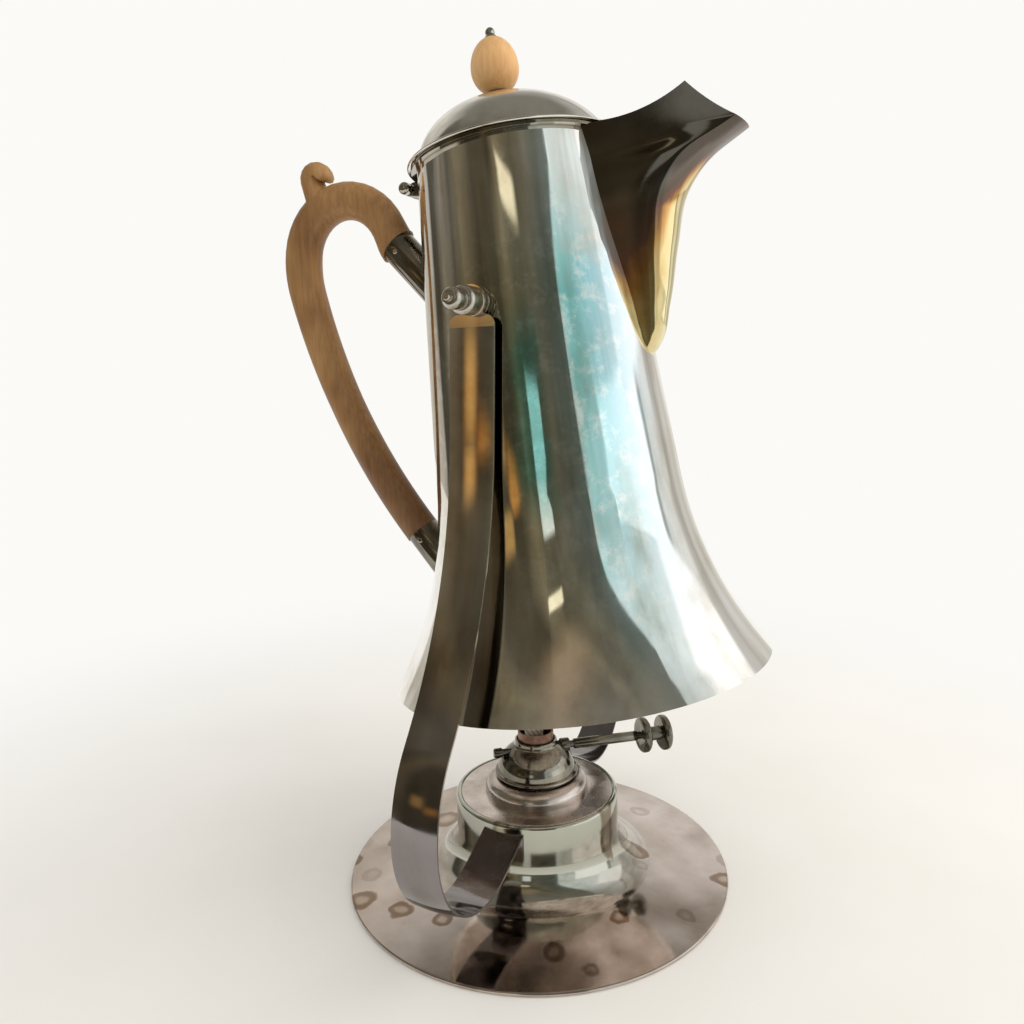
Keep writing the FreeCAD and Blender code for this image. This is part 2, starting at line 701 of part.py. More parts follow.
def make_knob_cup():
    """Small silver cup between the dome and the knob."""
    return turned_piece(pot_body_frame("knob_cup"), "profile", [
        Corner(ROD_HOLE, dome_level(ROD_HOLE)),
        Corner(D.cup_radius, dome_level(D.cup_radius), arc=-DOME_SPHERE),
        Corner(D.cup_radius, DOME_TOP + D.cup_height / 2),
        Corner(D.knob_seat, KNOB_FOOT),
        Corner(ROD_HOLE, KNOB_FOOT),
    ], offset=DOME_PLACE)


def make_knob():
    """Egg-shaped wooden knob, bored for the rod."""
    belly = KNOB_FOOT + D.knob_belly
    return turned_piece(pot_body_frame("knob"), "profile", [
        Corner(ROD_HOLE, KNOB_FOOT),
        Corner(D.knob_seat, KNOB_FOOT),
        Corner(D.knob_radius, belly, arc=bulge(D.knob_radius - D.knob_seat, D.knob_belly)),
        Corner(D.knob_tip, KNOB_TOP, arc=bulge(D.knob_radius - D.knob_tip, D.knob_height - D.knob_belly)),
        Corner(ROD_HOLE, KNOB_TOP),
    ], offset=DOME_PLACE)


def nut_top():
    return dome_level(D.nut_radius, D.lid_sheet)


def make_knob_finial():
    """Ball and cone on top of the knob, with the rod that runs down through it."""
    tail = nut_top() - D.rod_tail
    neck = KNOB_TOP + D.ball_cone
    middle = neck + root(D.ball_radius * D.ball_radius - D.ball_neck * D.ball_neck)
    return turned_piece(pot_body_frame("knob_finial"), "profile", [
        Corner(0, tail),
        Corner(D.rod_radius, tail),
        Corner(D.rod_radius, KNOB_TOP),
        Corner(D.knob_tip, KNOB_TOP),
        Corner(D.ball_neck, neck),
        Corner(0, middle + D.ball_radius, arc=D.ball_radius),
    ], offset=DOME_PLACE)


def make_knob_nut():
    """Six-sided nut that draws the rod up inside the dome."""
    body = pot_body_frame("knob_nut")
    sketch = new_sketch(body, "flats", "XY", offset=(-D.dome_offset, 0, nut_top() - D.nut_height))
    flats = [math.radians(60 * corner) for corner in range(6)]
    outline(sketch, [Corner(D.nut_radius * round(math.cos(flat), 9), D.nut_radius * round(math.sin(flat), 9))
                     for flat in flats])
    circle(sketch, 0, 0, D.rod_radius)
    pad(body, sketch, D.nut_height)
    return body


# Lid hinge


LUG_SPAN = 3 * D.knuckle_length + 2 * D.knuckle_gap


def make_hinge_bracket():
    """Bracket soldered under the lip: two lugs with a gap for the lid's knuckle."""
    body = pot_body_frame("hinge_bracket")
    start = -1 * (D.mouth_radius - D.bracket_depth)
    web = new_sketch(body, "web", "XZ")
    outline(web, [
        Corner(start, HINGE_LEVEL - D.bracket_depth),
        Corner(-HINGE_REACH, HINGE_LEVEL - D.knuckle_radius),
        Corner(-HINGE_REACH, HINGE_LEVEL),
        Corner(start, HINGE_LEVEL),
    ])
    pad(body, web, LUG_SPAN, middle=True)
    lugs = new_sketch(body, "lugs", "XZ")
    circle(lugs, -HINGE_REACH, HINGE_LEVEL, D.knuckle_radius)
    pad(body, lugs, LUG_SPAN, middle=True)
    slot = new_sketch(body, "slot", "XZ")
    near = -1 * (HINGE_REACH - D.knuckle_radius - 2 * D.knuckle_gap)
    far = -1 * (HINGE_REACH + 2 * D.knuckle_radius)
    low = HINGE_LEVEL - 2 * D.knuckle_radius
    high = HINGE_LEVEL + 2 * D.knuckle_radius
    outline(slot, [Corner(far, low), Corner(near, low), Corner(near, high), Corner(far, high)])
    cut_blind(body, slot, D.knuckle_length + 2 * D.knuckle_gap, middle=True)
    bore = new_sketch(body, "bore", "XZ")
    circle(bore, -HINGE_REACH, HINGE_LEVEL, D.hinge_pin_radius)
    bore_through(body, bore)
    cut_to_wall(body)
    return body


def make_lid_knuckle():
    """Leaf on the lid's flange, turned down round the hinge pin."""
    body = pot_body_frame("lid_knuckle")
    back = -1 * (HINGE_REACH + D.knuckle_radius)
    front = -1 * (HINGE_REACH - D.knuckle_radius / 2)
    inner = -1 * (D.flange_radius - D.leaf_lap)
    leaf = new_sketch(body, "leaf", "XZ")
    outline(leaf, [
        Corner(back, HINGE_LEVEL),
        Corner(front, HINGE_LEVEL),
        Corner(front, FLANGE_TOP),
        Corner(inner, FLANGE_TOP),
        Corner(inner, FLANGE_TOP + D.leaf_sheet),
        Corner(back, FLANGE_TOP + D.leaf_sheet, rounding=D.knuckle_radius),
    ])
    pad(body, leaf, D.knuckle_length, middle=True)
    roll = new_sketch(body, "roll", "XZ")
    circle(roll, -HINGE_REACH, HINGE_LEVEL, D.knuckle_radius)
    pad(body, roll, D.knuckle_length, middle=True)
    bore = new_sketch(body, "bore", "XZ")
    circle(bore, -HINGE_REACH, HINGE_LEVEL, D.hinge_pin_radius + D.pin_clearance)
    bore_through(body, bore)
    return body


def make_hinge_pin():
    """Pin through the lugs and the knuckle, with a ball at each end."""
    span = LUG_SPAN / 2 + D.knuckle_gap
    end = span + 2 * D.hinge_ball
    soft = D.hinge_ball * 0.9
    return turned_piece(pot_body_frame("hinge_pin"), "profile", [
        Corner(-end, 0),
        Corner(-end, D.hinge_ball, rounding=soft),
        Corner(-span, D.hinge_ball, rounding=soft * 0.55),
        Corner(-span, D.hinge_pin_radius),
        Corner(span, D.hinge_pin_radius),
        Corner(span, D.hinge_ball, rounding=soft * 0.55),
        Corner(end, D.hinge_ball, rounding=soft),
        Corner(end, 0),
    ], plane="YZ", axis="H_Axis", offset=(0, HINGE_LEVEL, -HINGE_REACH))


# Handle and sockets


def grip_bends():
    return [(D.hook_radius, D.hook_turn_angle), (D.nape_radius, D.nape_turn_angle),
            (D.back_radius, D.back_turn_angle)]


UPPER_MOUTH = Corner(-D.grip_reach, D.grip_level)
LOWER_MOUTH, LOWER_HEADING = walk(UPPER_MOUTH, D.grip_heading_angle, [D.grip_run] + grip_bends())
SOCKETS = (("upper", UPPER_MOUTH, D.socket_heading_angle), ("lower", LOWER_MOUTH, LOWER_HEADING))


def mouth_sketch(body, name, mouth, heading):
    """A sketch across a socket's mouth, facing the way the socket runs to the pot."""
    return new_sketch(body, name, "XY", offset=(mouth.x, 0, mouth.y), tilt=heading - 90)


def pin_place(mouth, heading):
    return after_run(mouth, heading, D.socket_pin_inset)


def make_handle():
    """Carved wooden handle: oval grip, thumb scroll and a tenon at each end."""
    body = pot_body_frame("handle")
    start = after_run(UPPER_MOUTH, D.grip_heading_angle, -D.grip_lead)
    path = new_sketch(body, "path", "XZ")
    track(path, start, D.grip_heading_angle, [D.grip_lead + D.grip_run] + grip_bends() + [D.grip_lead])
    section = new_sketch(body, "section", "XY", offset=(start.x, 0, start.y), tilt=D.grip_heading_angle - 90)
    deep = D.grip_depth / 2
    wide = D.grip_width / 2
    outline(section, [Corner(x, y, rounding=D.grip_round)
                      for x, y in ((-deep, -wide), (deep, -wide), (deep, wide), (-deep, wide))])
    sweep(body, section, path)
    scroll = new_sketch(body, "thumb", "XZ")
    left = -D.thumb_reach
    outline(scroll, [
        Corner(left + 2 * D.thumb_radius, D.thumb_level - D.thumb_stem),
        Corner(left + D.thumb_radius / 3, D.thumb_level + D.thumb_radius, rounding=D.thumb_round),
        Corner(left - D.thumb_radius * 0.7, D.thumb_level + D.thumb_radius, rounding=D.thumb_round),
        Corner(left - D.thumb_radius * 1.15, D.thumb_level, rounding=D.thumb_round),
        Corner(left - D.thumb_radius * 0.5, D.thumb_level - D.thumb_stem),
    ])
    pad(body, scroll, D.thumb_width, middle=True)
    for name, mouth, heading in SOCKETS:
        face = mouth_sketch(body, f"{name}_face", mouth, heading)
        circle(face, 0, 0, D.grip_depth)
        cut_blind(body, face, 2 * D.grip_lead, reverse=True)
        tenon = mouth_sketch(body, f"{name}_tenon", mouth, heading)
        circle(tenon, 0, 0, D.socket_radius - D.socket_sheet - D.tenon_gap)
        pad(body, tenon, D.tenon_length - D.tenon_gap)
        bore_pin(body, name, mouth, heading)
    return body


def bore_pin(body, name, mouth, heading):
    place = pin_place(mouth, heading)
    hole = new_sketch(body, f"{name}_pin_hole", "XZ")
    circle(hole, place.x, place.y, D.socket_pin_radius)
    bore_through(body, hole)


def make_socket(label, mouth, heading):
    """Silver socket from the wall to the handle's end, bored for the tenon."""
    body = pot_body_frame(label)
    tube = mouth_sketch(body, "tube", mouth, heading)
    circle(tube, 0, 0, D.socket_radius)
    pad(body, tube, D.socket_length)
    cut_to_wall(body)
    bore = mouth_sketch(body, "bore", mouth, heading)
    circle(bore, 0, 0, D.socket_radius - D.socket_sheet)
    cut_blind(body, bore, D.tenon_length, reverse=True)
    bore_pin(body, "socket", mouth, heading)
    return body


def make_socket_pin(label, mouth, heading):
    """Pin driven through a socket and its tenon."""
    place = pin_place(mouth, heading)
    end = D.socket_radius + D.socket_pin_radius / 2
    soft = D.socket_pin_radius / 2
    return turned_piece(pot_body_frame(label), "profile", [
        Corner(-end, 0), Corner(-end, D.socket_pin_radius, rounding=soft),
        Corner(end, D.socket_pin_radius, rounding=soft), Corner(end, 0),
    ], plane="YZ", axis="H_Axis", offset=(0, place.y, place.x))


# Pivots


ARM_INSIDE = D.arm_stance - D.arm_edge / 2
ARM_OUTSIDE = D.arm_stance + D.arm_edge / 2
BOSS_FACE = ARM_INSIDE - D.washer_sheet - 2 * D.pivot_gap
PIVOT_BORE = D.shank_radius + D.shank_clearance


def make_boss(label, side):
    """Boss soldered to the pot's wall, bored for the pivot screw."""
    body = pot_body_frame(label)
    inner = side * (BOSS_FACE - D.boss_radius * 1.5)
    face = side * BOSS_FACE
    turned_piece(body, "profile", [
        Corner(inner, PIVOT_BORE), Corner(face, PIVOT_BORE),
        Corner(face, D.boss_radius), Corner(inner, D.boss_radius),
    ], plane="YZ", axis="H_Axis", offset=(0, 0, -D.pot_offset))
    cut_to_wall(body)
    return body


def make_washer(label, side):
    """Washer soldered on the inside of an arm's eye."""
    near = side * (ARM_INSIDE - D.washer_sheet)
    far = side * ARM_INSIDE
    return turned_piece(new_body(label), "profile", [
        Corner(near, PIVOT_BORE), Corner(far, PIVOT_BORE),
        Corner(far, D.washer_radius), Corner(near, D.washer_radius),
    ], plane="YZ", axis="H_Axis", offset=(0, D.pivot_height, 0))


def make_finial(label, side):
    """Turned pivot screw: shank through the eye, barrel, cap and button."""
    start = side * (BOSS_FACE - D.shank_length)
    face = side * (ARM_OUTSIDE + D.pivot_gap)
    barrel = face + side * D.barrel_length
    groove = barrel + side * D.barrel_groove
    cap = groove + side * D.cap_nut_length
    tip = cap + side * D.button_length
    return turned_piece(new_body(label), "profile", [
        Corner(start, 0),
        Corner(start, D.shank_radius),
        Corner(face, D.shank_radius),
        Corner(face, D.barrel_radius, rounding=D.barrel_round / 2),
        Corner(barrel, D.barrel_radius, rounding=D.barrel_round),
        Corner(barrel, D.cap_nut_radius * 0.8),
        Corner(groove, D.cap_nut_radius * 0.8),
        Corner(groove, D.cap_nut_radius),
        Corner(cap, D.cap_nut_radius, rounding=D.cap_nut_round),
        Corner(cap, D.button_radius),
        Corner(tip, D.button_radius, rounding=D.button_radius / 2),
        Corner(tip, 0),
    ], plane="YZ", axis="H_Axis", offset=(0, D.pivot_height, 0))


# Stand


def arm_start(side):
    return Corner(side * D.arm_stance, D.pivot_height - D.strap_drop)


def arm_heading(side):
    return side * D.arm_slope_angle - 90


def arm_bends(side):
    """The strap's bends below its straight run: out, round the hip and back up to the drum."""
    out = D.arm_splay_angle - D.arm_slope_angle
    around = 90 + D.arm_rise_angle
    return [(D.arm_sweep_radius, side * out), (D.arm_hip_radius, -side * D.arm_splay_angle),
            (D.arm_loop_radius, -side * around)]


def tab_flank(radius):
    """How far out the tab's side edges stand where the drum or the tab has a given radius."""
    return root(radius * radius - D.arm_width * D.arm_width / 4)


def arm_run():
    """The straight run that brings the strap's tail to the top of its tab on the drum."""
    bends, _ = walk(arm_start(1), arm_heading(1), arm_bends(1))
    climb = sine(D.arm_rise_angle) / cosine(D.arm_rise_angle)
    fall = bends.y + (bends.x - TAB_OUTSIDE) * climb - TAB_TOP
    return fall / (cosine(D.arm_slope_angle) - sine(D.arm_slope_angle) * climb)


TAB_OUTSIDE = D.drum_radius + D.tab_sheet
TAB_TOP = D.drum_height - D.tab_drop
ARM_RUN = arm_run()


def arm_steps(side):
    """The strap's run from below the eye: down, then through its bends."""
    return [ARM_RUN] + arm_bends(side)


LOOP_END, _ = walk(arm_start(1), arm_heading(1), arm_steps(1))
ARM_TAIL = (LOOP_END.x - tab_flank(D.drum_radius)) / cosine(D.arm_rise_angle)
RIVET_LEVEL = TAB_TOP - D.rivet_drop
LAMP_SEAT = D.drum_height - D.seat_depth
TRAY_TOP = LAMP_SEAT + D.tray_sheet


def make_stand_foot():
    """Spun foot with a flat hem, sweeping up into a drum whose top is recessed for the lamp."""
    body = new_body("stand_foot")
    inner = D.drum_radius - D.foot_sheet
    ledge = D.drum_radius - D.seat_wall
    knee = D.foot_edge + D.foot_crown
    hem = D.foot_radius - D.foot_hem
    slope = D.foot_crown / (D.foot_radius - D.drum_radius)
    turned_piece(body, "profile", [
        Corner(hem, 0),
        Corner(D.foot_radius, 0, rounding=D.foot_edge * 0.45),
        Corner(D.foot_radius, D.foot_edge, rounding=D.foot_edge * 0.45),
        Corner(D.drum_radius, knee, rounding=D.flare_radius),
        Corner(D.drum_radius, D.drum_height, rounding=D.drum_corner),
        Corner(ledge, D.drum_height),
        Corner(ledge, LAMP_SEAT),
        Corner(D.seat_bore, LAMP_SEAT),
        Corner(D.seat_bore, LAMP_SEAT - D.foot_sheet),
        Corner(inner, LAMP_SEAT - D.foot_sheet),
        Corner(inner, knee - D.foot_sheet, rounding=D.flare_radius + D.foot_sheet),
        Corner(hem, D.foot_edge + D.foot_hem * slope - D.foot_sheet),
    ])
    holes = new_sketch(body, "rivet_holes", "XZ")
    circle(holes, 0, RIVET_LEVEL, D.rivet_radius)
    bore_through(body, holes)
    return body


def make_arm(label, side):
    """Strap arm: crowned strap, pivot eye at its top and a tab folded down on the drum."""
    body = new_body(label)
    half = D.arm_width / 2
    path = new_sketch(body, "path", "YZ")
    track(path, arm_start(side), arm_heading(side), arm_steps(side) + [ARM_TAIL])
    section = new_sketch(body, "section", "XY", offset=(0, 0, D.pivot_height - D.strap_drop))
    near = side * ARM_INSIDE
    far = side * ARM_OUTSIDE
    crown = (half * half + D.arm_crown_height * D.arm_crown_height) / (2 * D.arm_crown_height)
    outline(section, [Corner(-half, near), Corner(half, near), Corner(half, far),
                      Corner(-half, far, arc=side * crown)])
    sweep(body, section, path)
    drum = new_sketch(body, "drum", "XZ")
    above = D.drum_height + D.tab_height
    outline(drum, [Corner(0, 0), Corner(D.drum_radius, 0), Corner(D.drum_radius, above), Corner(0, above)])
    revolve(body, drum, kind="PartDesign::Groove")
    tab = new_sketch(body, "tab", "XY", offset=(0, 0, TAB_TOP - D.tab_height))
    near = side * tab_flank(D.drum_radius)
    far = side * tab_flank(TAB_OUTSIDE)
    outline(tab, [Corner(-half, near, arc=side * D.drum_radius), Corner(-half, far),
                  Corner(half, far, arc=-side * TAB_OUTSIDE), Corner(half, near)])
    pad(body, tab, D.tab_height)
    eye = new_sketch(body, "eye", "XZ", offset=(0, 0, -side * D.arm_stance))
    foot = D.pivot_height - D.strap_drop - D.arm_edge
    shoulder = D.pivot_height - D.shoulder_drop
    outline(eye, [
        Corner(-half, foot),
        Corner(half, foot),
        Corner(half, shoulder, rounding=D.shoulder_round),
        Corner(D.eye_neck, shoulder),
        Corner(D.eye_neck, D.pivot_height),
        Corner(-D.eye_neck, D.pivot_height),
        Corner(-D.eye_neck, shoulder),
        Corner(-half, shoulder, rounding=D.shoulder_round),
    ])
    pad(body, eye, D.arm_edge, middle=True)
    ring = new_sketch(body, "ring", "XZ", offset=(0, 0, -side * D.arm_stance))
    circle(ring, 0, D.pivot_height, D.eye_radius)
    pad(body, ring, D.arm_edge, middle=True)
    bore = new_sketch(body, "bore", "XZ")
    circle(bore, 0, D.pivot_height, PIVOT_BORE)
    bore_through(body, bore)
    hole = new_sketch(body, "rivet_hole", "XZ", offset=(0, 0, -side * D.drum_radius))
    circle(hole, 0, RIVET_LEVEL, D.rivet_radius)
    cut_blind(body, hole, 4 * D.tab_sheet, middle=True)
    return body


def make_rivet(label, side):
    """Round-headed rivet through an arm's tab and the drum."""
    tail = side * (D.drum_radius - 2 * D.foot_sheet)
    face = side * TAB_OUTSIDE
    crown = bulge(D.rivet_head_height, D.rivet_head)
    return turned_piece(new_body(label), "profile", [
        Corner(tail, 0),
        Corner(tail, D.rivet_radius),
        Corner(face, D.rivet_radius),
        Corner(face, D.rivet_head),
        Corner(face + side * D.rivet_head_height, 0, arc=-side * crown),
    ], plane="YZ", axis="H_Axis", offset=(0, RIVET_LEVEL, 0))


# Spirit lamp


def make_lamp_tray():
    """Flat ring that rests in the recess of the drum."""
    outer = D.drum_radius - D.seat_wall - D.lamp_clearance
    return turned_piece(new_body("lamp_tray"), "profile", [
        Corner(D.tray_bore, LAMP_SEAT),
        Corner(outer, LAMP_SEAT),
        Corner(outer, TRAY_TOP, rounding=D.tray_sheet / 2),
        Corner(D.tray_bore, TRAY_TOP),
    ])


def make_font_shoulder():
    """Raised shoulder on the tray with the neck that carries the burner cap."""
    inside = D.neck_radius - D.neck_wall
    under = D.shoulder_top - D.neck_wall
    return turned_piece(new_body("font_shoulder"), "profile", [
        Corner(D.shoulder_radius - D.neck_wall, TRAY_TOP),
        Corner(D.shoulder_radius, TRAY_TOP),
        Corner(D.shoulder_radius, D.shoulder_top, rounding=D.shoulder_soft),
        Corner(D.neck_radius, D.shoulder_top),
        Corner(D.neck_radius, D.neck_top),
        Corner(inside, D.neck_top),
        Corner(inside, under),
        Corner(D.shoulder_radius - D.neck_wall, under),
    ])


def make_reservoir_bowl():
    """Spirit bowl hung under the tray, inside the drum."""
    inner = D.bowl_radius - D.bowl_sheet
    return turned_piece(new_body("reservoir_bowl"), "profile", [
        Corner(0, D.bowl_floor),
        Corner(D.bowl_radius, D.bowl_floor, rounding=D.bowl_corner),
        Corner(D.bowl_radius, LAMP_SEAT),
        Corner(inner, LAMP_SEAT),
        Corner(inner, D.bowl_floor + D.bowl_sheet, rounding=D.bowl_corner - D.bowl_sheet),
        Corner(0, D.bowl_floor + D.bowl_sheet),
    ])


# Burner and wick winder


SPINDLE_BORE = D.spindle_radius + D.spindle_clearance


def cap_outside():
    """The burner cap's outer face, from its rolled rim up to the collar."""
    roll = D.cap_bottom + D.cap_roll
    return [
        Corner(D.cap_rim, D.cap_bottom, rounding=D.cap_roll_round),
        Corner(D.cap_rim, roll, rounding=D.cap_roll_round),
        Corner(D.cap_rim - 1.5 * D.cap_roll_round, roll),
        Corner(D.cap_collar, D.cap_shoulder, arc=D.cap_bulge),
        Corner(D.cap_collar, D.cap_top),
    ]


def make_burner_cap():
    """Domed cap over the neck, with a collar and a plate that holds the wick tube."""
    body = key_frame("burner_cap")
    skirt = D.neck_radius + D.cap_gap
    landing = D.neck_top + D.cap_seat
    inside = D.cap_collar - D.cap_sheet
    plate_top = D.cap_plate + D.cap_sheet
    turned_piece(body, "profile", [Corner(skirt, D.cap_bottom)] + cap_outside() + [
        Corner(inside, D.cap_top),
        Corner(inside, plate_top),
        Corner(D.tube_radius, plate_top),
        Corner(D.tube_radius, D.cap_plate),
        Corner(inside, D.cap_plate),
        Corner(inside, D.cap_shoulder),
        Corner(D.neck_radius - D.neck_wall / 2, landing, arc=-D.cap_bulge),
        Corner(skirt, landing),
    ])
    bore_spindle(body)
    return body


def bore_spindle(body):
    hole = new_sketch(body, "spindle_hole", "YZ")
    circle(hole, 0, D.spindle_height, SPINDLE_BORE)
    bore_through(body, hole)


def make_wick_tube():
    """Copper tube for the wick, held in the cap's plate."""
    body = key_frame("wick_tube")
    inner = D.tube_radius - D.tube_wall
    turned_piece(body, "profile", [
        Corner(inner, D.tube_foot), Corner(D.tube_radius, D.tube_foot),
        Corner(D.tube_radius, D.tube_top), Corner(inner, D.tube_top)])
    bore_spindle(body)
    return body


def along_spindle(label, corners):
    """A piece turned about the wick spindle."""
    return turned_piece(key_frame(label), "profile", corners, axis="H_Axis", offset=(0, D.spindle_height, 0))


def make_gland_nut():
    """Round nut against the cap's side, where the spindle comes out."""
    end = D.cap_collar + D.gland_length
    body = along_spindle("gland_nut", [
        Corner(D.tube_radius, SPINDLE_BORE),
        Corner(end, SPINDLE_BORE),
        Corner(end, D.gland_radius, rounding=D.gland_radius / 4),
        Corner(D.tube_radius, D.gland_radius),
    ])
    cap = new_sketch(body, "cap", "XZ")
    outline(cap, [Corner(0, D.cap_bottom)] + cap_outside() + [Corner(0, D.cap_top)])
    revolve(body, cap, kind="PartDesign::Groove")
    return body


def make_key_spindle():
    """Spindle through the cap and the tube, with a peg at its far end."""
    peg = D.peg_length - D.peg_reach
    end = D.key_reach - D.key_end_wall
    return along_spindle("key_spindle", [
        Corner(-D.peg_reach, 0),
        Corner(-D.peg_reach, D.peg_radius, rounding=D.peg_radius / 2),
        Corner(peg, D.peg_radius),
        Corner(peg, D.spindle_radius),
        Corner(end, D.spindle_radius),
        Corner(end, 0),
    ])


def make_key_knob():
    """Spool-shaped finger knob on the spindle's outer end: two discs with a narrow waist."""
    start = D.key_reach - D.key_length
    first = start + D.key_disc_sheet
    second = D.key_reach - D.key_disc_sheet
    end = D.key_reach - D.key_end_wall
    soft = D.key_disc_round
    return along_spindle("key_knob", [
        Corner(start, D.spindle_radius),
        Corner(start, D.key_disc, rounding=soft),
        Corner(first, D.key_disc, rounding=soft),
        Corner(first, D.key_neck),
        Corner(second, D.key_neck),
        Corner(second, D.key_disc, rounding=soft),
        Corner(D.key_reach, D.key_disc, rounding=soft),
        Corner(D.key_reach, 0),
        Corner(end, 0),
        Corner(end, D.spindle_radius),
    ])


def make_feed_wheel():
    """Toothed wheel on the spindle that winds the wick."""
    body = key_frame("feed_wheel")
    sketch = new_sketch(body, "teeth", "YZ", offset=(0, D.spindle_height, 0))
    corners = []
    for tooth in range(2 * FEED_TEETH):
        angle = math.pi * tooth / FEED_TEETH
        radius = D.feed_radius if tooth % 2 == 0 else D.feed_radius - D.feed_tooth
        corners.append(Corner(radius * round(math.cos(angle), 9), radius * round(math.sin(angle), 9)))
    outline(sketch, corners)
    circle(sketch, 0, 0, D.spindle_radius)
    pad(body, sketch, D.feed_width, middle=True)
    return body


def make_wick():
    """Flat woven wick that hangs from the tube's mouth into the bowl."""
    body = key_frame("wick")
    sketch = new_sketch(body, "weave", "XY", offset=(0, 0, D.wick_foot))
    half = D.wick_width / 2
    near = D.feed_radius + D.feed_gap
    far = near + D.wick_sheet
    outline(sketch, [Corner(-half, near), Corner(half, near), Corner(half, far), Corner(-half, far)])
    pad(body, sketch, D.wick_top - D.wick_foot)
    return body


SIDES = (("right", -1), ("left", 1))

nodes = [make_stand_foot()]
nodes += [make_arm(f"arm_{name}", side) for name, side in SIDES]
nodes.append(pair("arm_rivets", [make_rivet(f"rivet_{name}", side) for name, side in SIDES]))
nodes.append(pair("pivot_washers", [make_washer(f"washer_{name}", side) for name, side in SIDES]))
nodes += [make_pot_body(), make_pot_base(), make_spout()]
nodes += [make_boss(f"pivot_boss_{name}", side) for name, side in SIDES]
nodes += [make_socket(f"{name}_socket", mouth, heading) for name, mouth, heading in SOCKETS]
nodes.append(make_handle())
nodes.append(pair("socket_pins", [make_socket_pin(f"{name}_pin", mouth, heading)
                                  for name, mouth, heading in SOCKETS]))
nodes += [make_hinge_bracket(), make_hinge_pin()]
nodes += [make_lid_dome(), make_lid_bezel(), make_lid_knuckle()]
nodes += [make_knob_cup(), make_knob(), make_knob_finial(), make_knob_nut()]
nodes += [make_finial(f"finial_{name}", side) for name, side in SIDES]
nodes += [make_lamp_tray(), make_font_shoulder(), make_reservoir_bowl()]
nodes += [make_burner_cap(), make_wick_tube(), make_gland_nut()]
nodes += [make_key_spindle(), make_key_knob(), make_feed_wheel(), make_wick()]

doc.recompute()
for item in doc.Objects:
    faults = {"Invalid", "Error"} & set(item.State)
    assert not faults, f"{item.Label}: {item.State}"
os.makedirs("parts", exist_ok=True)
for node in nodes:
    assert not node.Shape.isNull() and node.Shape.isValid(), f"{node.Label} has no sound shape"
    assert node.Shape.Solids, f"{node.Label} has no solid"
for node in nodes:
    node.Shape.exportStep(f"parts/{node.Label}.step")
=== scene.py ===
import json
import math

import bmesh
import bpy
import mathutils
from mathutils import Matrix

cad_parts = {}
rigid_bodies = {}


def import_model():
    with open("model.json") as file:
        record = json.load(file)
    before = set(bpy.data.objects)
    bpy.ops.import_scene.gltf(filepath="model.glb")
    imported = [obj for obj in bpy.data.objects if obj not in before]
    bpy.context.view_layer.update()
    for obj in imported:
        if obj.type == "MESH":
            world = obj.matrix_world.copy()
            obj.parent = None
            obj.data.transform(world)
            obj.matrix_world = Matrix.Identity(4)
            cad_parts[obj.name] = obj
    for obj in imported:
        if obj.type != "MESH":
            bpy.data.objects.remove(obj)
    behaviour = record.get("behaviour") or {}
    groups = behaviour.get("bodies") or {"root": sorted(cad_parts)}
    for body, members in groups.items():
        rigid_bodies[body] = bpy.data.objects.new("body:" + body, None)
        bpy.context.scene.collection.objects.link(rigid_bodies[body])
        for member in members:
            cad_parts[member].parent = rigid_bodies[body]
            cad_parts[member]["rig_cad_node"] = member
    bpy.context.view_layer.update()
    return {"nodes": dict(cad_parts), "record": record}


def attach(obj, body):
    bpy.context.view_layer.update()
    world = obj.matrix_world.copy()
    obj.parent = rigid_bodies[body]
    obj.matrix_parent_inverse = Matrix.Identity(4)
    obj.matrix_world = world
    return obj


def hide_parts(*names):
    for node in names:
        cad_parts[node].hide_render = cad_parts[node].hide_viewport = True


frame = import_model()

MM = 0.001

# How the pot hangs: its lean and its pivot's place, and the same turned back for materials
POT_LEAN = math.radians(-7.3)
POT_PLACE = (0.003571, 0, 0.262457)
PIVOT_UPRIGHT = (-0.03689, 0, -0.25988)

# Sizes in millimetres and degrees shared by more than one piece
KNOB_AXIS = -3
KEY_LEVEL = 60
KEY_BEARING = 37.5
RING_POINTS = 32
SPIN_STEPS = 144

# The spout at each level: keel's reach, half width at the wall, radius of the keel's nose
SPOUT = (
    (-28.4, 47.6, 5.0, 4.4), (-26, 51.2, 5.6, 4.8), (-8, 58.8, 9.5, 8.6), (14, 64.6, 14.5, 13.0),
    (34, 71.7, 17.4, 15.0), (44.5, 83.0, 17.9, 14.0), (50, 95.5, 18.2, 11.0), (70, 140.0, 20.8, 6.0))
SPOUT_TOP = 66
SPOUT_BACK = 30
NOSE_POINTS = 48
NOSE_TURN = math.radians(75)
# A flank's three parts, singly and summed
FLANK_STEPS = (0.3, 0.3, 0.4)
FLANK_SHARES = (0.3, 0.6, 1.0)

# Camera and light, in metres and degrees
CAMERA_PLACE = (0.1465, -0.3369, 0.23135)
CAMERA_TURN = (79.6398, 1.3772, 24.1279)
CAMERA_LENS = 28.943
CAMERA_SENSOR = 36
CAMERA_SHIFT = (-0.0067, 0.0209)
FLOOR_SIZE = 3
FLOOR_PLACE = (0, 1.05, 0)
WINDOW_PLACE = (1.3, 0.25, 0.8)
WINDOW_SIZE = (2.2, 1.8)
WINDOW_TURN = 62
WINDOW_WATTS = 20
SWEEP = "#FBFAF7"
CEILING = "#7E7B72"

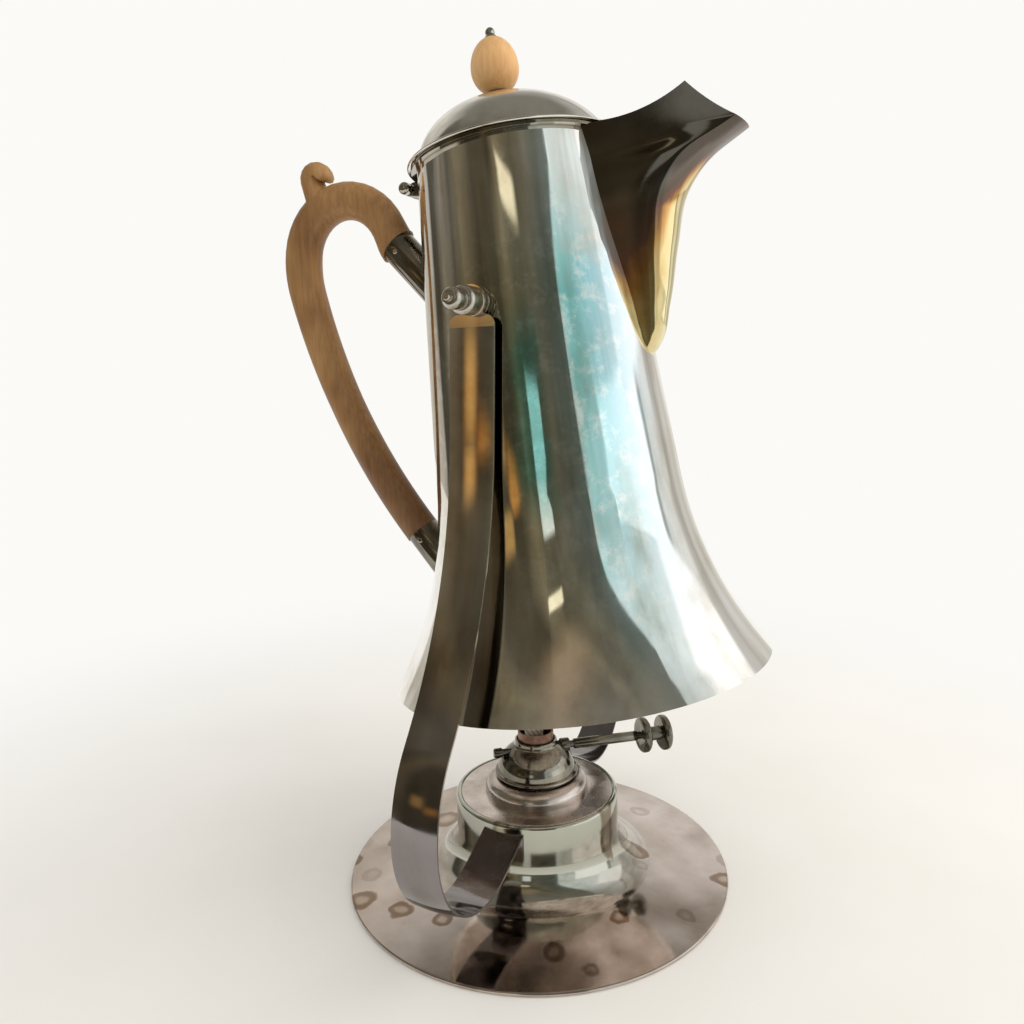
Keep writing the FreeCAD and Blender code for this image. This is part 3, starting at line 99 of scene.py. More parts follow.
# The room that the silver mirrors: a bearing in degrees and the wall's colour there
ROOM = (
    (-180, "#5A574F"), (-168, "#8F8A80"), (-152, "#5C584F"), (-138, "#7D745F"), (-125, "#565044"),
    (-112, "#575142"), (-104, "#524D40"), (-95, "#867D66"), (-86, "#656152"), (-70, "#757265"),
    (-56, "#646862"), (-43.5, "#6E736E"), (-42, "#EAF3F4"), (0, "#F0F6F6"), (28, "#F4F7F7"),
    (30, "#B2B5B2"), (32.5, "#B2B5B2"), (34.5, "#EEEFEC"), (48, "#E9E8E4"), (52, "#C4C1BC"),
    (62, "#CBC9C5"), (72, "#D8D6D2"), (85, "#ECEBE8"), (100, "#FBFAF7"),
    (125, "#E6E3DC"), (150, "#CFCBC3"), (169, "#BDBAB4"), (172, "#4E4B45"), (180, "#5A574F"))

# Brighter things in it: bearing and level, each as middle and half width, colour, softness of edge, gain
THINGS_IN_ROOM = (
    ((-118, 4.5), (0.13, 0.06), "#C49F66", 0.6, 1.0),
    ((-107.5, 4), (0.06, 0.04), "#C08C4E", 0.6, 1.0),
    ((-86, 17), (0.66, 0.085), "#A08A70", 0.8, 1.0),
    ((4, 24), (0.09, 0.22), "#FFFFFF", 0.05, 1.3),
    ((31, 18), (0.43, 0.17), "#FFFFFF", 0.12, 1.2),
    ((-81.5, 5), (0.14, 0.11), "#F2FBF8", 0.15, 1.0),
    ((-85, 6.5), (0.447, 0.022), "#FFF6D6", 0.3, 1.1))


# Modelling


def only(piece):
    """Make a piece the one selected object."""
    bpy.ops.object.select_all(action="DESELECT")
    piece.select_set(True)
    bpy.context.view_layer.objects.active = piece


def ready(piece, name, body, slot, *nodes):
    """Name a finished piece, let it move with its body and stand for its CAD nodes."""
    piece.name = name
    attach(piece, body)
    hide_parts(*nodes)
    return piece


def soften(name, body, edge):
    """A plated piece with its sharp edges rounded over, as hammering and polishing leave them."""
    only(frame["nodes"][name])
    bpy.ops.object.duplicate()
    piece = bpy.context.object
    del piece["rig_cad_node"]
    bpy.ops.mesh.customdata_custom_splitnormals_clear()
    bpy.ops.object.mode_set(mode="EDIT")
    bpy.ops.mesh.select_all(action="SELECT")
    bpy.ops.mesh.remove_doubles(threshold=0.001 * MM)
    bpy.ops.mesh.dissolve_limited(angle_limit=math.radians(0.3))
    bpy.ops.object.mode_set(mode="OBJECT")
    rounding = piece.modifiers.new("rounded edges", "BEVEL")
    rounding.width = edge * MM
    rounding.segments = 3
    rounding.limit_method = "ANGLE"
    rounding.angle_limit = math.radians(38)
    bpy.ops.object.modifier_apply(modifier=rounding.name)
    bpy.ops.object.shade_smooth_by_angle(angle=math.radians(32))
    if name in EVEN_WALLED:
        broad = piece.modifiers.new("broad faces lead", "WEIGHTED_NORMAL")
        broad.keep_sharp = True
        bpy.ops.object.modifier_apply(modifier=broad.name)
    return ready(piece, f"rounded_{name}", body, "silver_plate", name)


def into_pot_frame(piece):
    """Lean a piece that was modelled upright about the pivot, as the pot hangs."""
    only(piece)
    piece.location = POT_PLACE
    piece.rotation_euler = (0, POT_LEAN, 0)
    bpy.ops.object.transform_apply(location=True, rotation=True, scale=True)


def start_ring(place, heading, deep, wide):
    """An oval ring across a path in the handle's plane, all selected in edit mode."""
    x, level = place
    bpy.ops.object.select_all(action="DESELECT")
    bpy.ops.mesh.primitive_circle_add(
        vertices=RING_POINTS, radius=deep * MM, fill_type="NGON", location=(x * MM, 0, level * MM),
        rotation=(0, math.pi / 2 - heading, 0))
    bpy.ops.object.transform_apply(location=True, rotation=True, scale=True)
    bpy.ops.object.mode_set(mode="EDIT")
    bpy.ops.mesh.select_all(action="SELECT")
    bpy.ops.transform.resize(value=(1, wide / deep, 1), center_override=(x * MM, 0, level * MM))
    return bpy.context.object


def carry_ring(place, heading, run, turn, deep_by, wide_by):
    """Extrude the selected ring one step along its path, turning and swelling it on the way."""
    way = heading + turn / 2
    step = (run * math.cos(way) * MM, 0, run * math.sin(way) * MM)
    bpy.ops.mesh.extrude_region_move(TRANSFORM_OT_translate={"value": step})
    x, level = place[0] + step[0] / MM, place[1] + step[2] / MM
    centre = (x * MM, 0, level * MM)
    bpy.ops.transform.rotate(value=turn, orient_axis="Y", center_override=centre)
    bpy.ops.transform.resize(value=(deep_by, wide_by, deep_by), center_override=centre)
    return (x, level), heading + turn


def at(distance, stations):
    """A value between stations given by their distance along a path."""
    for (near, low), (far, high) in zip(stations, stations[1:]):
        if distance <= far:
            return low + (high - low) * (distance - near) / (far - near)
    return stations[-1][1]


def make_grip():
    """Oval grip from the upper socket over the hook and down to the lower one, lipped at its start."""
    deep, wide, step_length = 8.2, 7.3, 4
    girth = ((0, 1.12), (3, 1.06), (8, 1), (45, 1.04), (80, 1.11), (110, 1.07), (150, 1.02), (222, 1.04))
    bends = ((1.5, -9), (1.5, -9), (6.5, 0), (65, 144.4), (18.7, 23.5), (128.9, 26))
    place, heading, gone = (-62, 39.5), math.radians(127), 0
    grip = start_ring(place, heading, deep * girth[0][1], wide * girth[0][1])
    for run, angle in bends:
        steps = max(1, round(run / step_length))
        turn = math.radians(angle) / steps
        length = run / steps * (2 * math.sin(turn / 2) / turn if turn else 1)
        for _ in range(steps):
            grown = at(gone + run / steps, girth) / at(gone, girth)
            place, heading = carry_ring(place, heading, length, turn, grown, grown)
            gone += run / steps
    bpy.ops.object.mode_set(mode="OBJECT")
    return grip


def make_thumb_curl():
    """Wave-shaped curl on the grip's top, rolled over towards the pot."""
    stem = ((6, 0, 0.84, 1), (8, 0, 0.92, 1))
    roll = ((1.45, -24, 0.96, 0.99),) * 8
    tip = ((1.2, -15, 0.8, 0.9), (0.6, -5, 0.6, 0.7))
    place, heading = (-100.5, 64), math.radians(100)
    curl = start_ring(place, heading, 6.4, 6.6)
    for run, angle, deep_by, wide_by in stem + roll + tip:
        place, heading = carry_ring(place, heading, run, math.radians(angle), deep_by, wide_by)
    bpy.ops.object.mode_set(mode="OBJECT")
    return curl


def make_handle():
    """Carved wooden handle with its thumb curl."""
    grip = make_grip()
    curl = make_thumb_curl()
    only(grip)
    curl.select_set(True)
    bpy.ops.object.join()
    bpy.ops.object.mode_set(mode="EDIT")
    bpy.ops.mesh.select_all(action="SELECT")
    bpy.ops.mesh.normals_make_consistent(inside=False)
    bpy.ops.object.mode_set(mode="OBJECT")
    into_pot_frame(grip)
    bpy.ops.object.shade_smooth_by_angle(angle=math.radians(50))
    return ready(grip, "carved_handle", "pot", "fruitwood", "handle")


def bow(centre, radius, first, last, steps):
    """Points along an arc in the XZ plane, between two bearings in degrees."""
    bearings = [math.radians(first + (last - first) * step / steps) for step in range(steps + 1)]
    return [(centre[0] + radius * math.cos(b), centre[1] + radius * math.sin(b)) for b in bearings]


def sag(start, end, radius, steps):
    """Points along an arc that hangs below the straight line between two points."""
    run, rise = end[0] - start[0], end[1] - start[1]
    half = math.hypot(run, rise) / 2
    high = math.sqrt(radius * radius - half * half)
    centre = ((start[0] + end[0]) / 2 - rise / (2 * half) * high,
              (start[1] + end[1]) / 2 + run / (2 * half) * high)
    first, last = [math.degrees(math.atan2(q[1] - centre[1], q[0] - centre[0])) for q in (start, end)]
    return bow(centre, radius, first, last, steps)


def draw(points):
    """A line through points in millimetres in the XZ plane, pulled out of one vertex; all selected."""
    bpy.ops.object.select_all(action="DESELECT")
    bpy.ops.mesh.primitive_plane_add(size=1)
    bpy.ops.object.mode_set(mode="EDIT")
    bpy.ops.mesh.select_all(action="SELECT")
    bpy.ops.mesh.merge(type="CENTER")
    here = (0, 0)
    for number, (x, level) in enumerate(points):
        step = ((x - here[0]) * MM, 0, (level - here[1]) * MM)
        if number:
            bpy.ops.mesh.extrude_region_move(TRANSFORM_OT_translate={"value": step})
        else:
            bpy.ops.transform.translate(value=step)
        here = (x, level)
    bpy.ops.mesh.select_all(action="SELECT")
    return bpy.context.object


def turn_piece(points, axis_x=0.0):
    """Spin a drawn outline about an upright axis and close it."""
    piece = draw(points)
    bpy.ops.mesh.spin(steps=SPIN_STEPS, angle=2 * math.pi, center=(axis_x * MM, 0, 0), axis=(0, 0, 1))
    bpy.ops.mesh.select_all(action="SELECT")
    bpy.ops.mesh.remove_doubles(threshold=0.002 * MM)
    bpy.ops.mesh.normals_make_consistent(inside=False)
    bpy.ops.object.mode_set(mode="OBJECT")
    return piece


def make_foot():
    """Spun foot with a rolled hem, swept up into the drum."""
    hem = bow((89.05, 0.95), 0.95, -90, 84, 8)
    sweep_centre = (56.5, 23.68)
    drum_edge = bow((36.9, 39.2), 1.6, 0, 90, 6)
    recess = [(36.6, 40.8), (36.5, 40.7), (36.5, 39.6), (31, 39.6), (31, 38.3), (37.2, 38.3)]
    outline = hem + bow(sweep_centre, 18, 263.9, 180, 20) + drum_edge + recess
    outline += bow(sweep_centre, 19.3, 180, 263.9, 16) + [(85, 1.2), (85, 0)]
    foot = turn_piece(outline + outline[:1])
    bpy.ops.object.shade_smooth_by_angle(angle=math.radians(32))
    return ready(foot, "spun_foot", "stand", "silver_plate", "stand_foot")


def swell(centre, wide, high, first, last, steps):
    """Points along part of an upright oval, between two bearings in degrees."""
    return [(centre[0] + wide * x, centre[1] + high * z) for x, z in bow((0, 0), 1, first, last, steps)]


def make_knob():
    """Egg-shaped wooden knob, fullest below its middle."""
    belly = (KNOB_AXIS, 98.7)
    outline = [(KNOB_AXIS, 89.4)] + swell(belly, 10.1, 10.1, -67, 0, 14)
    outline += swell(belly, 10.1, 12.6, 0, 80, 18)[1:] + [(KNOB_AXIS, 111.1)]
    knob = turn_piece(outline, axis_x=KNOB_AXIS)
    into_pot_frame(knob)
    bpy.ops.object.shade_smooth_by_angle(angle=math.radians(50))
    return ready(knob, "turned_knob", "lid", "boxwood", "knob")


def make_knob_finial():
    """Ball finial whose skirt spreads over the top of the wooden knob."""
    rod = [(KNOB_AXIS, 82.1), (-1.5, 82.1), (-1.5, 110.5)]
    skirt = [(-0.1, 110.4), (0, 110.7), (-0.2, 111.2), (-0.7, 111.7), (-1.1, 112.1), (-1.2, 112.4)]
    finial = turn_piece(rod + skirt + bow((KNOB_AXIS, 113.2), 2, -18, 90, 12), axis_x=KNOB_AXIS)
    into_pot_frame(finial)
    bpy.ops.object.shade_smooth_by_angle(angle=math.radians(50))
    return ready(finial, "turned_finial", "lid", "silver_plate", "knob_finial")


def make_burner_cap():
    """Bell-shaped burner cap with a bead at its foot and a short neck round the wick tube."""
    middle, foot = (0, 51), (16.7, 48.7)
    bead = bow((18.8, 49.7), 0.95, -90, 80, 10)
    neck = [(10, 63.1), (9.8, 64.2), (9.9, 65), (9.7, 65.4), (9.1, 65.4), (8.9, 65), (8.9, 63.2)]
    outline = [foot] + bead + swell(middle, 18.3, 14, 0, 55, 18) + neck
    cap = turn_piece(outline + swell(middle, 17.4, 13.1, 56, 0, 14) + [(16.7, 50.6), foot])
    bpy.ops.object.shade_smooth_by_angle(angle=math.radians(40))
    return ready(cap, "spun_burner_cap", "burner", "silver_plate", "burner_cap")


def make_font_shoulder():
    """Round shoulder of the spirit font, swelling out over the tray, with the burner's neck."""
    round_of, foot = (18.9, 42.6), (23.2, 40.6)
    neck = [(16.5, 48), (16.5, 53), (15.3, 53), (15.3, 46.9)]
    outline = [foot, (24.3, 40.6)] + bow(round_of, 5.4, 0, 90, 14) + neck
    shoulder = turn_piece(outline + bow(round_of, 4.3, 90, 0, 10) + [foot])
    bpy.ops.object.shade_smooth_by_angle(angle=math.radians(40))
    return ready(shoulder, "spun_font_shoulder", "lamp", "silver_plate", "font_shoulder")


def make_key_spindle():
    """Wick key's rod, stouter outside the burner than inside it, lying level through the cap."""
    end = [(0, -20.6)] + bow((1.3, -19.6), 1, -90, 0, 5) + [(2.3, -16.6)]
    inside = [(1.7, -16.4), (1.7, 18.4)]
    outside = [(2.2, 18.6), (2.4, 19), (2.4, 50.5), (2.2, 51), (1.7, 51.2), (1.7, 64), (0, 64)]
    spindle = turn_piece(end + inside + outside)
    only(spindle)
    spindle.location = (0, 0, KEY_LEVEL * MM)
    spindle.rotation_euler = (0, math.pi / 2, math.radians(KEY_BEARING))
    bpy.ops.object.transform_apply(location=True, rotation=True, scale=True)
    bpy.ops.object.shade_smooth_by_angle(angle=math.radians(40))
    return ready(spindle, "turned_spindle", "wick_key", "silver_plate", "key_spindle")


def spout_size(level, column):
    """One of the spout's sizes at a level, run smoothly through its stations."""
    slopes = [(b[column] - a[column]) / (b[0] - a[0]) for a, b in zip(SPOUT, SPOUT[1:])]
    slopes = [slopes[0]] + [(a + b) / 2 for a, b in zip(slopes, slopes[1:])] + [slopes[-1]]
    spot = max(n for n in range(len(SPOUT) - 1) if SPOUT[n][0] <= level)
    low, high = SPOUT[spot], SPOUT[spot + 1]
    span = high[0] - low[0]
    t = (level - low[0]) / span
    return ((2 * t ** 3 - 3 * t * t + 1) * low[column] + (t ** 3 - 2 * t * t + t) * span * slopes[spot]
            + (3 * t * t - 2 * t ** 3) * high[column] + (t ** 3 - t * t) * span * slopes[spot + 1])


def pick(test):
    """Select the vertices of the mesh being edited that pass a test on their place in millimetres."""
    bpy.ops.mesh.select_all(action="DESELECT")
    mesh = bmesh.from_edit_mesh(bpy.context.object.data)
    for vertex in mesh.verts:
        if test(*(vertex.co / MM)):
            vertex.select = True
    mesh.select_flush(True)
    bmesh.update_edit_mesh(bpy.context.object.data)


def make_lid():
    """Lid's flange and its dome, fuller than a ball's cap, its top drawn back under the knob."""
    top, rise, back = 86.4, 24.4, 3.4
    middle = (KNOB_AXIS, 58)
    outer = swell(middle, 41.25, 28.4, 10.1, 87.8, 30)
    outline = [(37.6, 62)] + outer + swell(middle, 40.25, 27.4, 87.8, 8.4, 24)
    lid = turn_piece(outline + outline[:1], axis_x=KNOB_AXIS)
    bpy.ops.object.mode_set(mode="EDIT")
    for level in sorted({round(z, 3) for _, z in outline}):
        pick(lambda x, y, z: abs(z - level) < 0.0008)
        bpy.ops.transform.translate(value=(back * (top - level) / rise * MM, 0, 0))
    bpy.ops.object.mode_set(mode="OBJECT")
    flange = turn_piece([(35.6, 62)] + bow((44.5, 62.5), 0.5, -90, 90, 8) + [(35.6, 63), (35.6, 62)])
    only(lid)
    flange.select_set(True)
    bpy.ops.object.join()
    into_pot_frame(lid)
    bpy.ops.object.shade_smooth_by_angle(angle=math.radians(40))
    return ready(lid, "spun_lid", "lid", "silver_plate", "lid_dome")


def nose_edge(keel, nose):
    """Where the spout's rounded keel ends and a flank begins."""
    return keel - nose + nose * math.cos(NOSE_TURN), nose * math.sin(NOSE_TURN)


def make_spout_sheet():
    """The spout's outer face: a rounded keel with a flank each side, carried up level by level."""
    level = SPOUT[0][0]
    keel, half, nose = [spout_size(level, column) for column in (1, 2, 3)]
    bpy.ops.object.select_all(action="DESELECT")
    bpy.ops.mesh.primitive_circle_add(vertices=NOSE_POINTS, radius=nose * MM)
    sheet = bpy.context.object
    bpy.ops.object.mode_set(mode="EDIT")
    pick(lambda x, y, z: x < nose * 0.2)
    bpy.ops.mesh.delete(type="VERT")
    pick(lambda x, y, z: True)
    bpy.ops.transform.translate(value=((keel - nose) * MM, 0, level * MM))
    edge_x, edge_y = nose_edge(keel, nose)
    for side in (-1, 1):
        pick(lambda x, y, z: math.hypot(x - edge_x, y - side * edge_y) < 0.02)
        for share in FLANK_STEPS:
            bpy.ops.mesh.extrude_region_move(TRANSFORM_OT_translate={
                "value": ((SPOUT_BACK - edge_x) * share * MM, side * (half - edge_y) * share * MM, 0)})
    pick(lambda x, y, z: True)
    while level < SPOUT_TOP:
        # finer steps at the keel's root and along the beak
        rise = 0.8 if level < -22.5 else 1.6 if level > 30 else 3
        bpy.ops.mesh.extrude_region_move(TRANSFORM_OT_translate={"value": (0, 0, rise * MM)})
        level += rise
        new_keel, half, new_nose = [spout_size(level, column) for column in (1, 2, 3)]
        bpy.ops.transform.resize(value=(new_nose / nose, new_nose / nose, 1),
                                 center_override=((keel - nose) * MM, 0, 0))
        bpy.ops.transform.translate(value=((new_keel - new_nose - keel + nose) * MM, 0, 0))
        keel, nose = new_keel, new_nose
        edge_x, edge_y = nose_edge(keel, nose)
        mesh = bmesh.from_edit_mesh(sheet.data)
        for side in (-1, 1):
            flank = sorted((v for v in mesh.verts if abs(v.co.z / MM - level) < 0.01),
                           key=lambda v: side * v.co.y)[-len(FLANK_SHARES):]
            places = [v.co / MM for v in flank]
            for share, place in zip(FLANK_SHARES, sorted(places, key=lambda q: -q.x)):
                pick(lambda x, y, z: (place - mathutils.Vector((x, y, z))).length < 0.004)
                bpy.ops.transform.translate(value=(
                    (edge_x + (SPOUT_BACK - edge_x) * share - place.x) * MM,
                    (side * (edge_y + (half - edge_y) * share) - place.y) * MM, 0))
        pick(lambda x, y, z: abs(z - level) < 0.01)
    bpy.ops.object.mode_set(mode="OBJECT")
    return sheet


def cut_away(piece, cutter):
    """Cut one piece out of another and throw the cutter away."""
    only(piece)
    cut = piece.modifiers.new("cut", "BOOLEAN")
    cut.object = cutter
    cut.solver = "EXACT"
    bpy.ops.object.modifier_apply(modifier=cut.name)
    bpy.data.objects.remove(cutter)


def make_spout():
    """Raised pouring lip with a round keel and two ears, open along the top."""
    ear, beak, cut_width = (76.6, 67), (95.5, 50), 80
    spout = make_spout_sheet()
    only(spout)
    bpy.ops.object.mode_set(mode="EDIT")
    bpy.ops.mesh.select_all(action="SELECT")
    bpy.ops.mesh.normals_make_consistent(inside=False)
    bpy.ops.object.mode_set(mode="OBJECT")
    if max(spout.data.polygons, key=lambda face: face.center.x).normal.x < 0:
        spout.data.flip_normals()
    gauge = spout.modifiers.new("sheet", "SOLIDIFY")
    gauge.thickness = MM
    gauge.offset = -1
    bpy.ops.object.modifier_apply(modifier=gauge.name)
    above = draw([(0, 61)] + sag((44, 61), ear, 60, 14) + sag(ear, beak, 80, 14)[1:]
                 + [(190, 50), (190, 120), (0, 120)])
    bpy.ops.mesh.edge_face_add()
    bpy.ops.transform.translate(value=(0, -cut_width / 2 * MM, 0))
    bpy.ops.mesh.extrude_region_move(TRANSFORM_OT_translate={"value": (0, cut_width * MM, 0)})
    bpy.ops.mesh.select_all(action="SELECT")
    bpy.ops.mesh.normals_make_consistent(inside=False)
    bpy.ops.object.mode_set(mode="OBJECT")
    cut_away(spout, above)
    bpy.ops.object.select_all(action="DESELECT")
    bpy.ops.mesh.primitive_cone_add(vertices=192, radius1=49.2 * MM, radius2=40.1 * MM, depth=100 * MM,
                                    location=(0, 0, 15.8 * MM))
    wall = bpy.context.object
    bpy.ops.object.transform_apply(location=True, rotation=True, scale=True)
    cut_away(spout, wall)
    into_pot_frame(spout)
    bpy.ops.object.shade_smooth_by_angle(angle=math.radians(35))
    return ready(spout, "raised_spout", "pot", "silver_plate", "spout")


# Plated pieces shown with rounded edges: node, body, width of the rounding in millimetres
ROUNDED = (
    ("arm_right", "stand", 0.9), ("arm_left", "stand", 0.9),
    ("pivot_washers", "stand", 0.25), ("pot_body", "pot", 0.35), ("pot_base", "pot", 0.35),
    ("pivot_boss_right", "pot", 0.4), ("pivot_boss_left", "pot", 0.4), ("upper_socket", "pot", 0.3),
    ("lower_socket", "pot", 0.3), ("hinge_bracket", "pot", 0.3),
    ("lid_knuckle", "lid", 0.25), ("knob_cup", "lid", 0.3), ("finial_right", "screw_right", 0.6),
    ("finial_left", "screw_left", 0.6), ("lamp_tray", "lamp", 0.4),
    ("gland_nut", "burner", 0.25), ("key_knob", "wick_key", 0.3),
)
# Pieces whose broad walls keep an even shine up to the rounded edge
EVEN_WALLED = ("pot_body", "arm_right", "arm_left")
made = {name: soften(name, body, edge) for name, body, edge in ROUNDED}
made["handle"] = make_handle()
made["stand_foot"] = make_foot()
made["knob"] = make_knob()
made["knob_finial"] = make_knob_finial()
made["lid_dome"] = make_lid()
made["burner_cap"] = make_burner_cap()
made["font_shoulder"] = make_font_shoulder()
made["key_spindle"] = make_key_spindle()
made["spout"] = make_spout()


# Materials


def linear(code):
    """The linear colour of an sRGB hex value."""
    channels = [int(code[i:i + 2], 16) / 255 for i in (1, 3, 5)]
    return tuple(c / 12.92 if c <= 0.04045 else ((c + 0.055) / 1.055) ** 2.4 for c in channels) + (1,)


def add(tree, kind, links=None, **settings):
    """Add a node: settings go to its properties or inputs, links join its inputs to outputs."""
    node = tree.nodes.new(kind)
    for name, value in settings.items():
        if hasattr(node, name):
            setattr(node, name, value)
        else:
            node.inputs[name.replace("_", " ").title()].default_value = value
    for name, source in (links or {}).items():
        tree.links.new(source, node.inputs[name])
    return node


def stops(node, *pairs):
    """Set a ramp's stops from places and hex colours."""
    ramp = node.color_ramp
    while len(ramp.elements) > 1:
        ramp.elements.remove(ramp.elements[-1])
    for number, (place, code) in enumerate(pairs):
        stop = ramp.elements[0] if number == 0 else ramp.elements.new(place)
        stop.position = place
        stop.color = linear(code)
    return node.outputs["Color"]


def new_material(name):
    """A new material with its node tree and its shader."""
    material = bpy.data.materials.new(name)
    material.use_nodes = True
    tree = material.node_tree
    return material, tree, tree.nodes["Principled BSDF"]


def per_mm(size):
    """A pattern's scale from the size of one of its features in millimetres."""
    return 1000 / size


def tint(tree, under, over, share):
    """Lay a film that takes light away over a colour; film and share are values or sockets."""
    mix = add(tree, "ShaderNodeMix", {"A": under}, data_type="RGBA", blend_type="MULTIPLY")
    for name, value in (("B", linear(over) if isinstance(over, str) else over), ("Factor", share)):
        if isinstance(value, bpy.types.NodeSocket):
            tree.links.new(value, mix.inputs[name])
        else:
            mix.inputs[name].default_value = value
    return mix.outputs["Result"]


def silver_plate(name, tones, gloss, toning=None):
    """Silver plate left unpolished: a bright metal under grey-brown toning that hangs in soft streaks."""
    material, tree, shader = new_material(name)
    place = add(tree, "ShaderNodeTexCoord").outputs["Object"]
    upright = add(tree, "ShaderNodeMapping", {"Vector": place}, rotation=(0, -POT_LEAN, 0))
    upright.inputs["Location"].default_value = PIVOT_UPRIGHT
    hung = add(tree, "ShaderNodeMapping", {"Vector": upright.outputs[0]}, scale=(1, 1, 0.12)).outputs[0]
    streaks = add(tree, "ShaderNodeTexNoise", {"Vector": hung}, scale=per_mm(14), detail=4)
    clouds = add(tree, "ShaderNodeTexNoise", {"Vector": place}, scale=per_mm(30), detail=7, roughness=0.6)
    grime = add(tree, "ShaderNodeMath", {0: streaks.outputs[0], 1: clouds.outputs[0]},
                operation="MULTIPLY")
    tone = add(tree, "ShaderNodeValToRGB", {"Fac": grime.outputs[0]})
    colour = stops(tone, *zip((0.14, 0.26, 0.42), tones))
    if toning:
        where = {"place": place, "upright": upright.outputs[0], "clouds": clouds.outputs[0]}
        colour = toning(tree, where, colour)
    tree.links.new(colour, shader.inputs["Base Color"])
    smudge = add(tree, "ShaderNodeTexNoise", {"Vector": place}, scale=per_mm(12), detail=6,
                 roughness=0.65)
    haze = add(tree, "ShaderNodeMapRange", {"Value": smudge.outputs[0]}, from_min=0.35, from_max=0.75,
               to_min=gloss[0], to_max=gloss[1])
    tree.links.new(haze.outputs[0], shader.inputs["Roughness"])
    dents = add(tree, "ShaderNodeTexNoise", {"Vector": place}, scale=per_mm(24), detail=1)
    planish = add(tree, "ShaderNodeBump", {"Height": dents.outputs[0]}, strength=0.4, distance=0.12 * MM)
    rubs = add(tree, "ShaderNodeTexNoise", {"Vector": place}, scale=per_mm(0.8), detail=2)
    wear = add(tree, "ShaderNodeBump", {"Height": rubs.outputs[0], "Normal": planish.outputs[0]},
               strength=0.1, distance=0.006 * MM)
    tree.links.new(wear.outputs[0], shader.inputs["Normal"])
    shader.inputs["Metallic"].default_value = 1
    return material


def rainbow_toning(tree, where, under):
    """Straw, turquoise and lilac films in upright bands, a teal stripe by the strap and a brown lip."""
    parts = add(tree, "ShaderNodeSeparateXYZ", {"Vector": where["upright"]})
    clouds, level = where["clouds"], parts.outputs["Z"]
    turn = add(tree, "ShaderNodeMath", {0: parts.outputs["Y"], 1: parts.outputs["X"]},
               operation="ARCTAN2")
    wander = add(tree, "ShaderNodeMath", {0: clouds, 2: turn.outputs[0]}, operation="MULTIPLY_ADD")
    wander.inputs[1].default_value = 0.25
    round_it = add(tree, "ShaderNodeMapRange", {"Value": wander.outputs[0]}, from_min=0.125 - math.pi,
                   from_max=0.125 + math.pi)
    film = add(tree, "ShaderNodeValToRGB", {"Fac": round_it.outputs[0]})
    uneven = add(tree, "ShaderNodeMath", {0: clouds, 2: level}, operation="MULTIPLY_ADD")
    uneven.inputs[1].default_value = 0.06
    ends = add(tree, "ShaderNodeMapRange", {"Value": uneven.outputs[0]}, from_min=-0.13, from_max=0.11)
    span = add(tree, "ShaderNodeValToRGB", {"Fac": ends.outputs[0]})
    held = stops(span, (0.0, "#3A3A3A"), (0.3, "#D8D8D8"), (0.68, "#FFFFFF"), (0.85, "#565656"))
    flecks = add(tree, "ShaderNodeTexNoise", {"Vector": where["place"]}, scale=per_mm(7), detail=5,
                 roughness=0.7)
    patchy = add(tree, "ShaderNodeMapRange", {"Value": flecks.outputs[0]}, from_min=0.66, from_max=0.5,
                 to_min=0.45, to_max=1)
    share = add(tree, "ShaderNodeMath", {0: held, 1: patchy.outputs[0]}, operation="MULTIPLY")
    banded = tint(tree, under, stops(film, *POT_FILMS), share.outputs[0])
    beside = add(tree, "ShaderNodeValToRGB", {"Fac": round_it.outputs[0]})
    stripe = stops(beside, (0.264, "#000000"), (0.284, "#FFFFFF"), (0.305, "#FFFFFF"), (0.318, "#000000"))
    below = add(tree, "ShaderNodeMapRange", {"Value": level}, from_min=0, from_max=-100 * MM)
    along = add(tree, "ShaderNodeValToRGB", {"Fac": below.outputs[0]})
    run = stops(along, (0.0, "#000000"), (0.2, "#FFFFFF"), (0.68, "#FFFFFF"), (0.88, "#000000"))
    by_strap = add(tree, "ShaderNodeMath", {0: stripe, 1: run}, operation="MULTIPLY")
    lip = add(tree, "ShaderNodeMapRange", {"Value": level}, from_min=60 * MM, from_max=60.8 * MM)
    striped = tint(tree, banded, TEAL_FILM, by_strap.outputs[0])
    return tint(tree, striped, LIP_FILM, lip.outputs[0])


def keel_toning(tree, where, under):
    """Straw and copper films along the spout's keel, over flanks and a beak gone dark brown."""
    parts = add(tree, "ShaderNodeSeparateXYZ", {"Vector": where["upright"]})
    across = add(tree, "ShaderNodeMath", {0: parts.outputs["Y"]}, operation="ABSOLUTE")
    runs = add(tree, "ShaderNodeMapping", {"Vector": where["upright"]}, scale=(0.3, 1, 0.08))
    drawn = add(tree, "ShaderNodeTexNoise", {"Vector": runs.outputs[0]}, scale=per_mm(4), detail=3)
    wander = add(tree, "ShaderNodeMath", {0: drawn.outputs[0], 2: across.outputs[0]},
                 operation="MULTIPLY_ADD")
    wander.inputs[1].default_value = 8 * MM
    high = add(tree, "ShaderNodeMapRange", {"Value": parts.outputs["Z"]}, from_min=26 * MM,
               from_max=46 * MM, to_max=14 * MM)
    drawn_in = add(tree, "ShaderNodeMath", {0: wander.outputs[0], 1: high.outputs[0]}, operation="ADD")
    out = add(tree, "ShaderNodeMapRange", {"Value": drawn_in.outputs[0]}, from_min=0, from_max=26 * MM)
    film = add(tree, "ShaderNodeValToRGB", {"Fac": out.outputs[0]})
    return tint(tree, under, stops(film, *KEEL_FILMS), 1.0)


